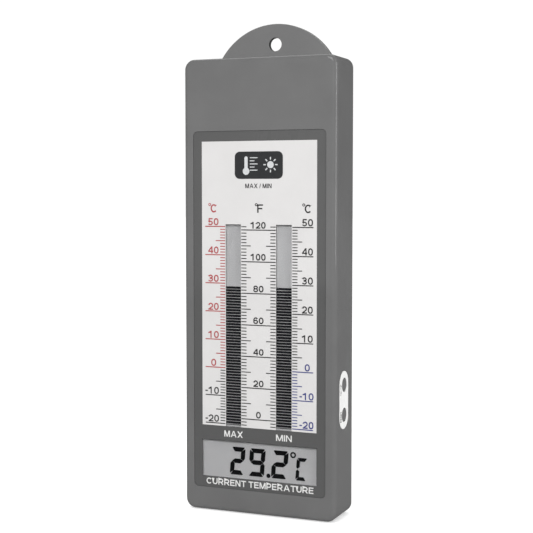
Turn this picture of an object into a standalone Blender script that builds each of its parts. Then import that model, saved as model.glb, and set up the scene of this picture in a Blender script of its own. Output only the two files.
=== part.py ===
"""Wall-hung digital maximum minimum thermometer, built as it comes apart on a bench.

Sizes are in millimetres and MM turns them into Blender's metres. The back plane, which lies on the wall, is
y = 0, the face looks along -Y, +Z is up, and the origin is the middle of the case's back.
"""

import math

import bmesh
import bpy
from mathutils import Matrix, Vector

MM = 0.001
GAP = 0.3  # clearance between neighbouring pieces
THIN_GAP = 0.2  # clearance between the sheets in the face's recess
BEYOND = 5.0  # how far a cutting shape runs on past the surface that it cuts through

# The case.
CASE_W, CASE_H, CASE_D = 80.0, 223.4, 24.0
CORNER_R = 5.0
FACE_FILLET = 2.3
WALL = 2.2
FACE_INNER_Y = -20.2  # back of the face wall
FRONT_Y = -CASE_D

# The recess in the face and what lies in it, front to back.
RECESS_HALF_W, RECESS_LOW, RECESS_HIGH = 34.8, -100.1, 76.4
RECESS_R = 2.2
OVERLAY_Y = (-23.7, -23.4)
LENS_Y = (-23.2, -22.8)
RECESS_FLOOR_Y = -22.6
PANEL_HALF_W, PANEL_LOW, PANEL_HIGH = 30.2, -68.8, 71.4
BAR_WINDOW_X = 13.35
BAR_WINDOW_W, BAR_WINDOW_TOP = 8.3, 31.0
DIGIT_HALF_W, DIGIT_LOW, DIGIT_HIGH = 30.25, -94.7, -76.4

# The liquid-crystal cell: a wide front glass bonded to a narrower rear glass.
CELL_FRONT_HALF_W, CELL_REAR_HALF_W = 31.5, 27.5
CELL_LOW, CELL_HIGH = -95.9, 32.0
GLASS_T = 1.1
CELL_Y = RECESS_FLOOR_Y
ZEBRA_X, ZEBRA_W = 29.8, 2.0

# The board and the frame between it and the cell.
FRAME_Y = (-19.9, -17.9)
FRAME_HALF_W, FRAME_LOW, FRAME_HIGH = 33.8, -98.2, 34.3
BOARD_Y = (-17.6, -16.0)
BOARD_HALF_W, BOARD_LOW, BOARD_HIGH = 35.5, -99.0, 42.0
BOARD_TONGUE_HALF_W, BOARD_TONGUE_LOW = 24.0, -106.6
BOARD_SCREWS = ((-28.0, 38.2), (28.0, 38.2), (-18.0, -102.6), (18.0, -102.6))
POST_R, POST_HOLE_R, BOARD_SCREW_R, BOARD_SCREW_TIP_Y = 2.4, 1.2, 0.9, -20.9
BOARD_PILOT_Y = -21.2
PART_Y = BOARD_Y[1] + GAP  # foot of everything soldered behind the board

# The rear cover with its hanging tab.
COVER_T = 2.5
COVER_R = 2.5
TAB_R, TAB_Z = 34.6, 95.2
HANG_Z, HANG_R = 119.7, 3.3
CASE_SCREWS = ((-31.5, 103.0), (31.5, 103.0), (-31.5, 48.0), (31.5, 48.0), (-31.5, -104.0), (31.5, -104.0))
CUP_R, CUP_WALL, CUP_FLOOR_Y, CUP_HOLE_R = 3.2, 1.2, (-6.0, -4.6), 1.6
CASE_SCREW_R, CASE_HEAD_R, CASE_HEAD_Y, CASE_SCREW_TIP_Y = 1.25, 2.8, -2.3, -15.5
BOSS_R, BOSS_TOP_Y, BOSS_HOLE_Y = 3.3, -6.3, -17.5
VENT_X, VENT_LOW, VENT_HIGH, VENT_W, VENT_R = (-10.0, -5.0, 0.0, 5.0, 10.0), -100.0, -91.0, 1.6, 0.75

# The battery bay, let into the rear cover.
CELL_AAA_R, CELL_AAA_Y = 5.25, -7.6
CELL_AAA_LOW, CELL_AAA_SHOULDER, CELL_AAA_NUB = -76.5, -33.2, -32.0
NUB_R = 1.9
BAY_HALF_W, BAY_FLOOR_Y = 5.75, -13.2
BAY_LOW, BAY_HIGH, BAY_WALL = -82.1, -30.9, 1.3
PLUS_Z = (-31.7, -31.2)
MINUS_Z = (-81.8, -81.3)
PLATE_HALF_W, PLATE_Y = 4.5, (-12.4, -3.4)
TERMINAL_Y, TERMINAL_HALF_W = (-10.5, -10.0), 1.0
TERMINAL_ENDS = (-27.8, -85.2)
WIRE_Y, WIRE_R = -10.25, 0.55
SPRING_TOP, SPRING_BOTTOM = -76.9, -80.9
DOOR_HALF_W, DOOR_LOW, DOOR_HIGH = 10.5, -84.5, -27.5
DOOR_Y = (-1.8, -0.1)
SEAT_Y = (-4.0, -2.1)
SEAT_HALF_W, SEAT_LOW, SEAT_HIGH = 12.5, -79.0, -25.5
HOOK_X, HOOK_W, HOOK_FOOT, HOOK_HEAD = 8.85, 2.3, 2.0, 1.2
HOOK_Y = (-4.0, -2.9, -1.0)
GRIP_HALF_W, GRIP_W, GRIP_PITCH, GRIP_DEPTH = 5.0, 1.0, 2.2, 0.5
HINGE_Z = DOOR_LOW - 0.1

# The buttons on the +X side and the switches behind them.
BUTTON_Y, BUTTON_ZS = -11.8, (-46.4, -61.1)
BUTTON_R, BUTTON_FLANGE_R = 3.2, 4.6
BUTTON_FACE_X = 40.0
FLANGE_X = (36.5, 37.5)
LABEL_W, LABEL_H, LABEL_Z = 13.6, 28.3, -53.8
LABEL_X = (39.7, 40.0)
LABEL_FLOOR_X = 39.4
SWITCH_X = (28.2, 34.0)
SWITCH_HALF_W, SWITCH_TOP_Y, SWITCH_BORE_X = 3.0, -8.7, 31.8
PLUNGER_X = (33.0, 36.2)
PLUNGER_R = 1.75
BUTTON_BORE_X = 36.0

# Components behind the board.
BLOB_R, BLOB_HEIGHT, BLOB_Z = 8.0, 1.6, 8.0
CRYSTAL_R, CRYSTAL_LENGTH, CRYSTAL_AT = 1.0, 6.2, (17.0, 2.0)
CAPACITOR_R, CAPACITOR_HEIGHT, CAPACITOR_AT = 2.5, 7.0, (-18.0, -6.0)
RESISTOR_HALF_W, RESISTOR_HALF_H, RESISTOR_T = 1.0, 0.62, 0.55
RESISTOR_X, RESISTOR_Z = (-15.0, -11.0, -7.0), 24.0
SENSOR_Z, SENSOR_BEAD_Y, SENSOR_BEAD_R = -95.5, -6.6, 1.6
SENSOR_LEAD_X, SENSOR_LEAD_R = 0.8, 0.3


# ---------------------------------------------------------------- outlines


def arc(cx, cy, r, start, end, steps):
    """Points along a circle, with the angles in degrees and both ends in."""
    turns = [math.radians(start + (end - start) * i / steps) for i in range(steps + 1)]
    return [(cx + r * math.cos(t), cy + r * math.sin(t)) for t in turns]


def rounded(x0, x1, z0, z1, r, steps=6):
    """A rectangle with round corners, anticlockwise."""
    corners = ((x1 - r, z0 + r, -90), (x1 - r, z1 - r, 0), (x0 + r, z1 - r, 90), (x0 + r, z0 + r, 180))
    return [p for cx, cz, a in corners for p in arc(cx, cz, r, a, a + 90, steps)]


def rectangle(x0, x1, z0, z1):
    return [(x0, z0), (x1, z0), (x1, z1), (x0, z1)]


def circle(cx, cy, r, sides=24):
    return arc(cx, cy, r, 0, 360, sides)[:-1]


def stadium(cy, cz, width, height, steps=10):
    """An upright slot with round ends."""
    r, reach = width / 2, height / 2 - width / 2
    return arc(cy, cz + reach, r, 0, 180, steps) + arc(cy, cz - reach, r, 180, 360, steps)


# ---------------------------------------------------------------- meshes

AXES = {"X": Matrix(((0, 0, 1), (1, 0, 0), (0, 1, 0))), "Y": Matrix(((1, 0, 0), (0, 0, 1), (0, 1, 0)))}
AXES["Z"] = Matrix.Identity(3)


def add_prism(bm, outline, low, high, axis="Y"):
    """Extrudes an outline between two places on an axis. Returns the faces at both ends."""
    turn = AXES[axis]
    rings = [[bm.verts.new(turn @ Vector((a, b, at)) * MM) for a, b in outline] for at in (low, high)]
    count = len(outline)
    faces = [bm.faces.new(rings[0]), bm.faces.new(rings[1])]
    for i in range(count):
        j = (i + 1) % count
        faces.append(bm.faces.new((rings[0][i], rings[0][j], rings[1][j], rings[1][i])))
    bmesh.ops.recalc_face_normals(bm, faces=faces)
    return faces[0], faces[1]


def add_box(bm, x, y, z):
    return add_prism(bm, rectangle(x[0], x[1], z[0], z[1]), y[0], y[1])


def add_turned(bm, profile, centre, axis="Z", sides=20):
    """Turns a profile of (radius, height) points, from the bottom up, about an axis through a centre."""
    turn, rings = AXES[axis], []
    for r, h in profile:
        ring = circle(0, 0, r, sides) if r > 0 else [(0.0, 0.0)]
        rings.append([bm.verts.new((turn @ Vector((a, b, h)) + Vector(centre)) * MM) for a, b in ring])
    faces = [bm.faces.new(ring) for ring in (rings[0], rings[-1]) if len(ring) > 1]
    for low, high in zip(rings, rings[1:]):
        for i in range(sides):
            j = (i + 1) % sides
            corners = [low[i % len(low)], low[j % len(low)], high[j % len(high)], high[i % len(high)]]
            faces.append(bm.faces.new(list(dict.fromkeys(corners))))
    bmesh.ops.recalc_face_normals(bm, faces=faces)


def new_object(name, bm):
    mesh = bpy.data.meshes.new(name)
    bm.to_mesh(mesh)
    bm.free()
    item = bpy.data.objects.new(name, mesh)
    bpy.context.scene.collection.objects.link(item)
    return item


def shade(item, angle=35):
    """Smooth shading, with edges sharper than the angle kept crisp."""
    item.data.shade_smooth()
    item.data.set_sharp_from_angle(angle=math.radians(angle))


def finish(item, material):
    """Gives a piece its material and shading."""
    item.data.materials.append(material)
    shade(item)
    return item


def combine(item, bm, operation, label):
    """Cuts the shapes in bm from a piece, or joins them to it. They don't touch each other."""
    tool = new_object(f"{item.name}_{label}", bm)
    tool.hide_render = True
    tool.display_type = "WIRE"
    tool.parent = item
    modifier = item.modifiers.new(label, "BOOLEAN")
    modifier.operation = operation
    modifier.solver = "EXACT"
    modifier.object = tool


def plastic(name, color, roughness):
    return surface(name, color, roughness, 0.0)


def metal(name, color, roughness):
    return surface(name, color, roughness, 1.0)


def surface(name, color, roughness, metallic):
    material = bpy.data.materials.new(name)
    material.use_nodes = True
    shader = material.node_tree.nodes["Principled BSDF"]
    shader.inputs["Base Color"].default_value = (*color, 1.0)
    shader.inputs["Roughness"].default_value = roughness
    shader.inputs["Metallic"].default_value = metallic
    material.diffuse_color = (*color, 1.0)
    return material


# ---------------------------------------------------------------- case


def front_case(material):
    """The moulded tray: face, side walls, bosses for the cover's screws and posts for the board's."""
    bm = bmesh.new()
    outline = rounded(-CASE_W / 2, CASE_W / 2, -CASE_H / 2, CASE_H / 2, CORNER_R, 8)
    face, _ = add_prism(bm, outline, FRONT_Y, 0.0)
    bmesh.ops.bevel(
        bm,
        geom=list(face.edges),
        offset=FACE_FILLET * MM,
        offset_type="OFFSET",
        segments=5,
        profile=0.5,
        affect="EDGES",
    )
    item = new_object("front_case", bm)

    hollow = bmesh.new()
    half_w, half_h = CASE_W / 2 - WALL, CASE_H / 2 - WALL
    add_prism(hollow, rounded(-half_w, half_w, -half_h, half_h, CORNER_R - WALL), FACE_INNER_Y, BEYOND)
    combine(item, hollow, "DIFFERENCE", "hollow")

    supports = bmesh.new()
    for x, z in CASE_SCREWS:
        add_prism(supports, circle(x, z, BOSS_R, 20), FACE_INNER_Y - 1.0, BOSS_TOP_Y)
    for x, z in BOARD_SCREWS:
        add_prism(supports, circle(x, z, POST_R, 16), FACE_INNER_Y - 1.0, FRAME_Y[1])
    combine(item, supports, "UNION", "supports")

    pilot_holes = bmesh.new()
    for x, z in CASE_SCREWS:
        add_prism(pilot_holes, circle(x, z, CASE_SCREW_R + GAP, 12), BOSS_HOLE_Y, BEYOND)
    for x, z in BOARD_SCREWS:
        add_prism(pilot_holes, circle(x, z, BOARD_SCREW_R + GAP, 12), BOARD_PILOT_Y, 0.0)
    combine(item, pilot_holes, "DIFFERENCE", "pilot_holes")

    recess = bmesh.new()
    outline = rounded(-RECESS_HALF_W, RECESS_HALF_W, RECESS_LOW, RECESS_HIGH, RECESS_R)
    add_prism(recess, outline, FRONT_Y - BEYOND, RECESS_FLOOR_Y)
    combine(item, recess, "DIFFERENCE", "recess")

    aperture = bmesh.new()
    half_w = CELL_FRONT_HALF_W + GAP
    height = (CELL_LOW - GAP, CELL_HIGH + GAP)
    add_box(aperture, (-half_w, half_w), (FRONT_Y - BEYOND, FACE_INNER_Y + BEYOND), height)
    combine(item, aperture, "DIFFERENCE", "aperture")

    tab_notch = bmesh.new()
    add_prism(tab_notch, circle(0, TAB_Z, TAB_R + GAP, 96), -COVER_T - GAP, BEYOND)
    combine(item, tab_notch, "DIFFERENCE", "tab_notch")

    label_seat = bmesh.new()
    outline = stadium(BUTTON_Y, LABEL_Z, LABEL_W + 2 * GAP, LABEL_H + 2 * GAP)
    add_prism(label_seat, outline, LABEL_FLOOR_X, BUTTON_FACE_X + BEYOND, "X")
    combine(item, label_seat, "DIFFERENCE", "label_seat")

    button_holes = bmesh.new()
    for z in BUTTON_ZS:
        outline = circle(BUTTON_Y, z, BUTTON_R + GAP)
        add_prism(button_holes, outline, BUTTON_BORE_X, BUTTON_FACE_X + BEYOND, "X")
    combine(item, button_holes, "DIFFERENCE", "button_holes")
    return finish(item, material)


def cover_outline():
    """The cover's plate with the round tab rising out of its top edge."""
    half_w, top = CASE_W / 2 - WALL - GAP, CASE_H / 2 - WALL - GAP
    plate = rounded(-half_w, half_w, -top, top, COVER_R)
    neck = math.degrees(math.asin((top - TAB_Z) / TAB_R))
    tab = arc(0, TAB_Z, TAB_R, neck, 180 - neck, 40)
    corner = len(plate) // 2  # the two top corners meet here, where the tab goes in
    return plate[:corner] + tab + plate[corner:]


def rear_cover(material):
    """The back plate, let into the case, with the hanging tab, battery bay, screw wells and vents."""
    bm = bmesh.new()
    add_prism(bm, cover_outline(), -COVER_T, 0.0)
    item = new_object("rear_cover", bm)

    wells = bmesh.new()
    for x, z in CASE_SCREWS:
        add_prism(wells, circle(x, z, CUP_R + CUP_WALL, 20), CUP_FLOOR_Y[0], -1.0)
    combine(item, wells, "UNION", "wells")

    seat = bmesh.new()
    add_box(seat, (-SEAT_HALF_W, SEAT_HALF_W), (SEAT_Y[0], -1.0), (SEAT_LOW, SEAT_HIGH))
    combine(item, seat, "UNION", "seat")

    bay = bmesh.new()
    half_w = BAY_HALF_W + BAY_WALL
    add_box(bay, (-half_w, half_w), (BAY_FLOOR_Y - 1.2, -1.0), (BAY_LOW - BAY_WALL, BAY_HIGH + BAY_WALL))
    combine(item, bay, "UNION", "bay")

    opening = bmesh.new()
    half_w = DOOR_HALF_W + GAP
    add_box(opening, (-half_w, half_w), (SEAT_Y[1], BEYOND), (DOOR_LOW - GAP, DOOR_HIGH + GAP))
    combine(item, opening, "DIFFERENCE", "opening")

    hook_slots = bmesh.new()
    for side in (-1, 1):
        x0, x1 = sorted((side * (BAY_HALF_W + BAY_WALL), side * (DOOR_HALF_W + GAP)))
        add_box(hook_slots, (x0, x1), (SEAT_Y[0] - BEYOND, BEYOND), (DOOR_LOW - GAP, SEAT_LOW))
    combine(item, hook_slots, "DIFFERENCE", "hook_slots")

    pocket = bmesh.new()
    add_box(pocket, (-BAY_HALF_W, BAY_HALF_W), (BAY_FLOOR_Y, BEYOND), (BAY_LOW, BAY_HIGH))
    combine(item, pocket, "DIFFERENCE", "pocket")

    terminal_slots = bmesh.new()
    slot_x = (-TERMINAL_HALF_W - GAP, TERMINAL_HALF_W + GAP)
    slot_y = (TERMINAL_Y[0] - GAP, TERMINAL_Y[1] + GAP)
    add_box(terminal_slots, slot_x, slot_y, (BAY_HIGH - 1.0, BAY_HIGH + BAY_WALL + 1.0))
    add_box(terminal_slots, slot_x, slot_y, (BAY_LOW - BAY_WALL - 1.0, BAY_LOW + 1.0))
    combine(item, terminal_slots, "DIFFERENCE", "terminal_slots")

    holes = bmesh.new()
    floor = CUP_FLOOR_Y[1]
    well = ((CUP_HOLE_R, floor - BEYOND), (CUP_HOLE_R, floor), (CUP_R, floor), (CUP_R, BEYOND))
    for x, z in CASE_SCREWS:
        add_turned(holes, well, (x, 0, z), "Y")
    add_prism(holes, circle(0, HANG_Z, HANG_R, 32), -BEYOND, BEYOND)
    for x in VENT_X:
        outline = rounded(x - VENT_W / 2, x + VENT_W / 2, VENT_LOW, VENT_HIGH, VENT_R, 3)
        add_prism(holes, outline, -BEYOND, BEYOND)
    combine(item, holes, "DIFFERENCE", "holes")
    return finish(item, material)


def battery_door(material):
    """The battery lid: two hooks at its foot, on which it tilts, and three grip grooves at its head."""
    bm = bmesh.new()
    add_prism(bm, rounded(-DOOR_HALF_W, DOOR_HALF_W, DOOR_LOW, DOOR_HIGH, 1.0, 3), *DOOR_Y)
    item = new_object("battery_door", bm)

    hooks = bmesh.new()
    for side in (-1, 1):
        x = (side * HOOK_X - HOOK_W / 2, side * HOOK_X + HOOK_W / 2)
        front, back, root = HOOK_Y
        profile = (
            (root, DOOR_LOW),
            (root, DOOR_LOW + HOOK_HEAD),
            (front, DOOR_LOW + HOOK_HEAD),
            (front, DOOR_LOW - HOOK_FOOT),
            (back, DOOR_LOW - HOOK_FOOT),
            (back, DOOR_LOW),
        )
        add_prism(hooks, profile, *x, "X")
    combine(item, hooks, "UNION", "hooks")

    grooves = bmesh.new()
    for i in range(3):
        top = DOOR_HIGH - 3.0 - GRIP_PITCH * i
        add_box(grooves, (-GRIP_HALF_W, GRIP_HALF_W), (DOOR_Y[1] - GRIP_DEPTH, BEYOND), (top - GRIP_W, top))
    combine(item, grooves, "DIFFERENCE", "grooves")
    finish(item, material)

    hinge = Vector((0, 0, HINGE_Z)) * MM
    for piece in (item, *item.children):
        piece.data.transform(Matrix.Translation(-hinge))
    item.location = hinge
    return item


# ---------------------------------------------------------------- face and display


def plate_with_windows(name, outline, y, windows, material):
    """A thin sheet with windows cut through it, each window an outline."""
    bm = bmesh.new()
    add_prism(bm, outline, *y)
    item = new_object(name, bm)
    cuts = bmesh.new()
    for window in windows:
        add_prism(cuts, window, y[0] - 1.0, y[1] + 1.0)
    combine(item, cuts, "DIFFERENCE", "windows")
    return finish(item, material)


def recess_outline(gap):
    """The recess, drawn in by a gap."""
    half_w = RECESS_HALF_W - gap
    return rounded(-half_w, half_w, RECESS_LOW + gap, RECESS_HIGH - gap, RECESS_R - gap)


def face_overlay(material):
    """The printed surround, open at the scale plate and at the digits."""
    g = THIN_GAP
    panel = rectangle(-PANEL_HALF_W - g, PANEL_HALF_W + g, PANEL_LOW - g, PANEL_HIGH + g)
    digits = rectangle(-DIGIT_HALF_W, DIGIT_HALF_W, DIGIT_LOW, DIGIT_HIGH)
    return plate_with_windows("face_overlay", recess_outline(GAP), OVERLAY_Y, (panel, digits), material)


def scale_plate(material):
    """The white plate that carries the scales. Each bar window runs out through its foot."""
    outline = rectangle(-PANEL_HALF_W, PANEL_HALF_W, PANEL_LOW, PANEL_HIGH)
    windows = []
    half_w = BAR_WINDOW_W / 2
    for x in (-BAR_WINDOW_X, BAR_WINDOW_X):
        windows.append(rectangle(x - half_w, x + half_w, PANEL_LOW - 1.0, BAR_WINDOW_TOP))
    return plate_with_windows("scale_plate", outline, OVERLAY_Y, windows, material)


def display_lens(material):
    bm = bmesh.new()
    add_prism(bm, recess_outline(GAP), *LENS_Y)
    return finish(new_object("display_lens", bm), material)


def lcd_glass(material):
    """The cell. Its front glass overhangs the rear one at both sides, where the contacts are."""
    bm = bmesh.new()
    back, step = CELL_Y + 2 * GLASS_T, CELL_Y + GLASS_T
    outline = (
        (-CELL_FRONT_HALF_W, CELL_Y),
        (CELL_FRONT_HALF_W, CELL_Y),
        (CELL_FRONT_HALF_W, step),
        (CELL_REAR_HALF_W, step),
        (CELL_REAR_HALF_W, back),
        (-CELL_REAR_HALF_W, back),
        (-CELL_REAR_HALF_W, step),
        (-CELL_FRONT_HALF_W, step),
    )
    add_prism(bm, outline, CELL_LOW, CELL_HIGH, "Z")
    return finish(new_object("lcd_glass", bm), material)


def lcd_frame(material):
    """The frame round the cell, with a slot at each side for its contact strip."""
    outline = rounded(-FRAME_HALF_W, FRAME_HALF_W, FRAME_LOW, FRAME_HIGH, 1.5, 3)
    inner = CELL_REAR_HALF_W + GAP
    low, high = CELL_LOW - GAP, CELL_HIGH + GAP
    windows = [rectangle(-inner, inner, low, high)]
    for side in (-1, 1):
        x, half = side * ZEBRA_X, ZEBRA_W / 2 + GAP
        windows.append(rectangle(x - half, x + half, low + 6.0, high - 6.0))
    return plate_with_windows("lcd_frame", outline, FRAME_Y, windows, material)


def zebra_strip(name, side, material):
    bm = bmesh.new()
    x = (side * ZEBRA_X - ZEBRA_W / 2, side * ZEBRA_X + ZEBRA_W / 2)
    front = CELL_Y + GLASS_T + GAP
    add_box(bm, x, (front, FRAME_Y[1]), (CELL_LOW + 6.0, CELL_HIGH - 6.0))
    return finish(new_object(name, bm), material)


# ---------------------------------------------------------------- board


def main_board(material):
    """The circuit board, with a tongue between the two lowest case bosses."""
    w, t, low, foot, top = BOARD_HALF_W, BOARD_TONGUE_HALF_W, BOARD_LOW, BOARD_TONGUE_LOW, BOARD_HIGH
    outline = [(-t, foot), (t, foot), (t, low), (w, low), (w, top), (-w, top), (-w, low), (-t, low)]
    holes = [circle(x, z, POST_HOLE_R, 12) for x, z in BOARD_SCREWS]
    return plate_with_windows("main_board", outline, BOARD_Y, holes, material)


def chip_blob(material):
    """The resin dome over the controller."""
    profile = [(BLOB_R * a, PART_Y + BLOB_HEIGHT * b) for a, b in arc(0, 0, 1, 0, 75, 5)]
    profile.append((0.0, PART_Y + BLOB_HEIGHT))
    bm = bmesh.new()
    add_turned(bm, profile, (0, 0, BLOB_Z), "Y", 24)
    return finish(new_object("chip_blob", bm), material)


def clock_crystal(material):
    bm = bmesh.new()
    r, length, (x, z) = CRYSTAL_R, CRYSTAL_LENGTH, CRYSTAL_AT
    profile = ((r * 0.7, 0.0), (r, 0.3), (r, length - 0.3), (r * 0.7, length))
    add_turned(bm, profile, (x, PART_Y + r, z), "Z", 14)
    return finish(new_object("clock_crystal", bm), material)


def reservoir_capacitor(material):
    bm = bmesh.new()
    r, (x, z) = CAPACITOR_R, CAPACITOR_AT
    low, top = PART_Y, PART_Y + CAPACITOR_HEIGHT
    profile = ((r, low), (r, low + 0.8), (r - 0.2, low + 1.1), (r, low + 1.4), (r, top - 0.3), (r - 0.3, top))
    add_turned(bm, profile, (x, 0, z), "Y", 18)
    return finish(new_object("reservoir_capacitor", bm), material)


def chip_resistor(name, x, material):
    bm = bmesh.new()
    z = (RESISTOR_Z - RESISTOR_HALF_H, RESISTOR_Z + RESISTOR_HALF_H)
    add_box(bm, (x - RESISTOR_HALF_W, x + RESISTOR_HALF_W), (PART_Y, PART_Y + RESISTOR_T), z)
    return finish(new_object(name, bm), material)


def temperature_sensor(material):
    """The thermistor: a bead on two leads, standing behind the vents."""
    shell = arc(0, 0, SENSOR_BEAD_R, -90, 90, 10)[1:-1]
    profile = [(0.0, -SENSOR_BEAD_R), *shell, (0.0, SENSOR_BEAD_R)]
    bm = bmesh.new()
    add_turned(bm, profile, (0, SENSOR_BEAD_Y, SENSOR_Z), "Y", 16)
    item = new_object("temperature_sensor", bm)
    leads = bmesh.new()
    for x in (-SENSOR_LEAD_X, SENSOR_LEAD_X):
        add_prism(leads, circle(x, SENSOR_Z, SENSOR_LEAD_R, 8), PART_Y, SENSOR_BEAD_Y)
    combine(item, leads, "UNION", "leads")
    return finish(item, material)


def side_switch(name, z, material):
    """A side-acting push switch, with a blind bore for its plunger."""
    bm = bmesh.new()
    add_box(bm, SWITCH_X, (PART_Y, SWITCH_TOP_Y), (z - SWITCH_HALF_W, z + SWITCH_HALF_W))
    item = new_object(name, bm)
    bore = bmesh.new()
    add_prism(bore, circle(BUTTON_Y, z, PLUNGER_R + GAP, 16), SWITCH_BORE_X, SWITCH_X[1] + BEYOND, "X")
    combine(item, bore, "DIFFERENCE", "bore")
    return finish(item, material)


# ---------------------------------------------------------------- buttons


def turned_on_side(name, profile, z, material, sides):
    """A turned piece whose axis lies along X through a button's centre, where its origin is."""
    bm = bmesh.new()
    add_turned(bm, profile, (0, 0, 0), "X", sides)
    item = finish(new_object(name, bm), material)
    item.location = Vector((0, BUTTON_Y, z)) * MM
    return item


def switch_plunger(name, z, material):
    low, high = PLUNGER_X
    profile = ((PLUNGER_R, low), (PLUNGER_R, high - 0.3), (PLUNGER_R - 0.3, high))
    return turned_on_side(name, profile, z, material, 16)


def push_button(name, z, material):
    low, seat = FLANGE_X
    edge = 0.35
    profile = (
        (BUTTON_FLANGE_R, low),
        (BUTTON_FLANGE_R, seat),
        (BUTTON_R, seat),
        (BUTTON_R, BUTTON_FACE_X - edge),
        (BUTTON_R - edge, BUTTON_FACE_X),
    )
    return turned_on_side(name, profile, z, material, 32)


def button_label(material):
    """The white label round the buttons, in its shallow seat on the case's side."""
    bm = bmesh.new()
    add_prism(bm, stadium(BUTTON_Y, LABEL_Z, LABEL_W, LABEL_H), *LABEL_X, "X")
    item = new_object("button_label", bm)
    holes = bmesh.new()
    for z in BUTTON_ZS:
        add_prism(holes, circle(BUTTON_Y, z, BUTTON_R + GAP), LABEL_X[0] - 1.0, LABEL_X[1] + 1.0, "X")
    combine(item, holes, "DIFFERENCE", "holes")
    return finish(item, material)


# ---------------------------------------------------------------- battery


def battery(material):
    bm = bmesh.new()
    r, edge = CELL_AAA_R, 0.4
    profile = (
        (r - edge, CELL_AAA_LOW),
        (r, CELL_AAA_LOW + edge),
        (r, CELL_AAA_SHOULDER - edge),
        (r - edge, CELL_AAA_SHOULDER),
        (NUB_R, CELL_AAA_SHOULDER),
        (NUB_R, CELL_AAA_NUB),
    )
    add_turned(bm, profile, (0, CELL_AAA_Y, 0), "Z", 28)
    return finish(new_object("battery", bm), material)


def contact_plate(name, z, terminal_z, material):
    """A contact plate at one end of the bay, with its solder terminal through the bay's end wall."""
    bm = bmesh.new()
    add_box(bm, (-PLATE_HALF_W, PLATE_HALF_W), PLATE_Y, z)
    item = new_object(name, bm)
    terminal = bmesh.new()
    add_box(terminal, (-TERMINAL_HALF_W, TERMINAL_HALF_W), TERMINAL_Y, terminal_z)
    combine(item, terminal, "UNION", "terminal")
    return finish(item, material)


def wire_object(name, points, radius, roundness, material):
    """A round wire through points, as a capped tube. A greater roundness gives it more sides."""
    curve = bpy.data.curves.new(name, "CURVE")
    curve.dimensions = "3D"
    curve.bevel_depth = radius * MM
    curve.bevel_resolution = roundness
    curve.use_fill_caps = True
    spline = curve.splines.new("POLY")
    spline.points.add(len(points) - 1)
    for point, at in zip(spline.points, points):
        point.co = (*(Vector(at) * MM), 1.0)
    item = bpy.data.objects.new(name, curve)
    bpy.context.scene.collection.objects.link(item)
    curve.materials.append(material)
    return item


def battery_spring(material):
    """The negative contact: a cone of wire that narrows towards the battery."""
    turns, steps, wire_r, wide, narrow = 3.0, 16, 0.35, 4.0, 2.4
    count = int(turns * steps)
    points = []
    for i in range(count + 1):
        share, angle = i / count, 2 * math.pi * i / steps
        r = wide + (narrow - wide) * share
        z = SPRING_BOTTOM + wire_r + (SPRING_TOP - SPRING_BOTTOM - 2 * wire_r) * share
        points.append((r * math.cos(angle), CELL_AAA_Y + r * math.sin(angle), z))
    return wire_object("battery_spring", points, wire_r, 1, material)


def smooth_route(corners, steps=5):
    """Points along a Catmull-Rom curve through the corners."""
    ends = [Vector(p) for p in (corners[0], *corners, corners[-1])]
    points = []
    for a, b, c, d in zip(ends, ends[1:], ends[2:], ends[3:]):
        for i in range(steps):
            t = i / steps
            bend = (2 * a - 5 * b + 4 * c - d) * t * t + (3 * b - a - 3 * c + d) * t * t * t
            points.append(b + ((c - a) * t + bend) / 2)
    return points + [ends[-1]]


def battery_wire(name, corners, material):
    return wire_object(name, smooth_route(corners), WIRE_R, 2, material)


# ---------------------------------------------------------------- screws


def screw(name, x, z, head, shank, material):
    """A pan-head screw into the face. head is (radius, rear y, front y), shank is (radius, tip y)."""
    head_r, head_top, head_foot = head
    shank_r, tip = shank
    slot_depth = 0.6
    profile = (
        (shank_r * 0.3, tip),
        (shank_r, tip + 1.0),
        (shank_r, head_foot),
        (head_r, head_foot),
        (head_r, head_top - 0.5),
        (head_r - 0.5, head_top),
    )
    bm = bmesh.new()
    add_turned(bm, profile, (x, 0, z), "Y", 16)
    item = new_object(name, bm)
    slots = bmesh.new()
    arm, half = head_r * 0.55, head_r * 0.14
    cross = [(half, half), (arm, half), (arm, -half), (half, -half)]
    cross += [(half, -arm), (-half, -arm), (-half, -half), (-arm, -half)]
    cross += [(-arm, half), (-half, half), (-half, arm), (half, arm)]
    add_prism(slots, [(x + a, z + b) for a, b in cross], head_top - slot_depth, head_top + 1.0)
    combine(item, slots, "DIFFERENCE", "slots")
    return finish(item, material)


# ---------------------------------------------------------------- assembly


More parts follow.
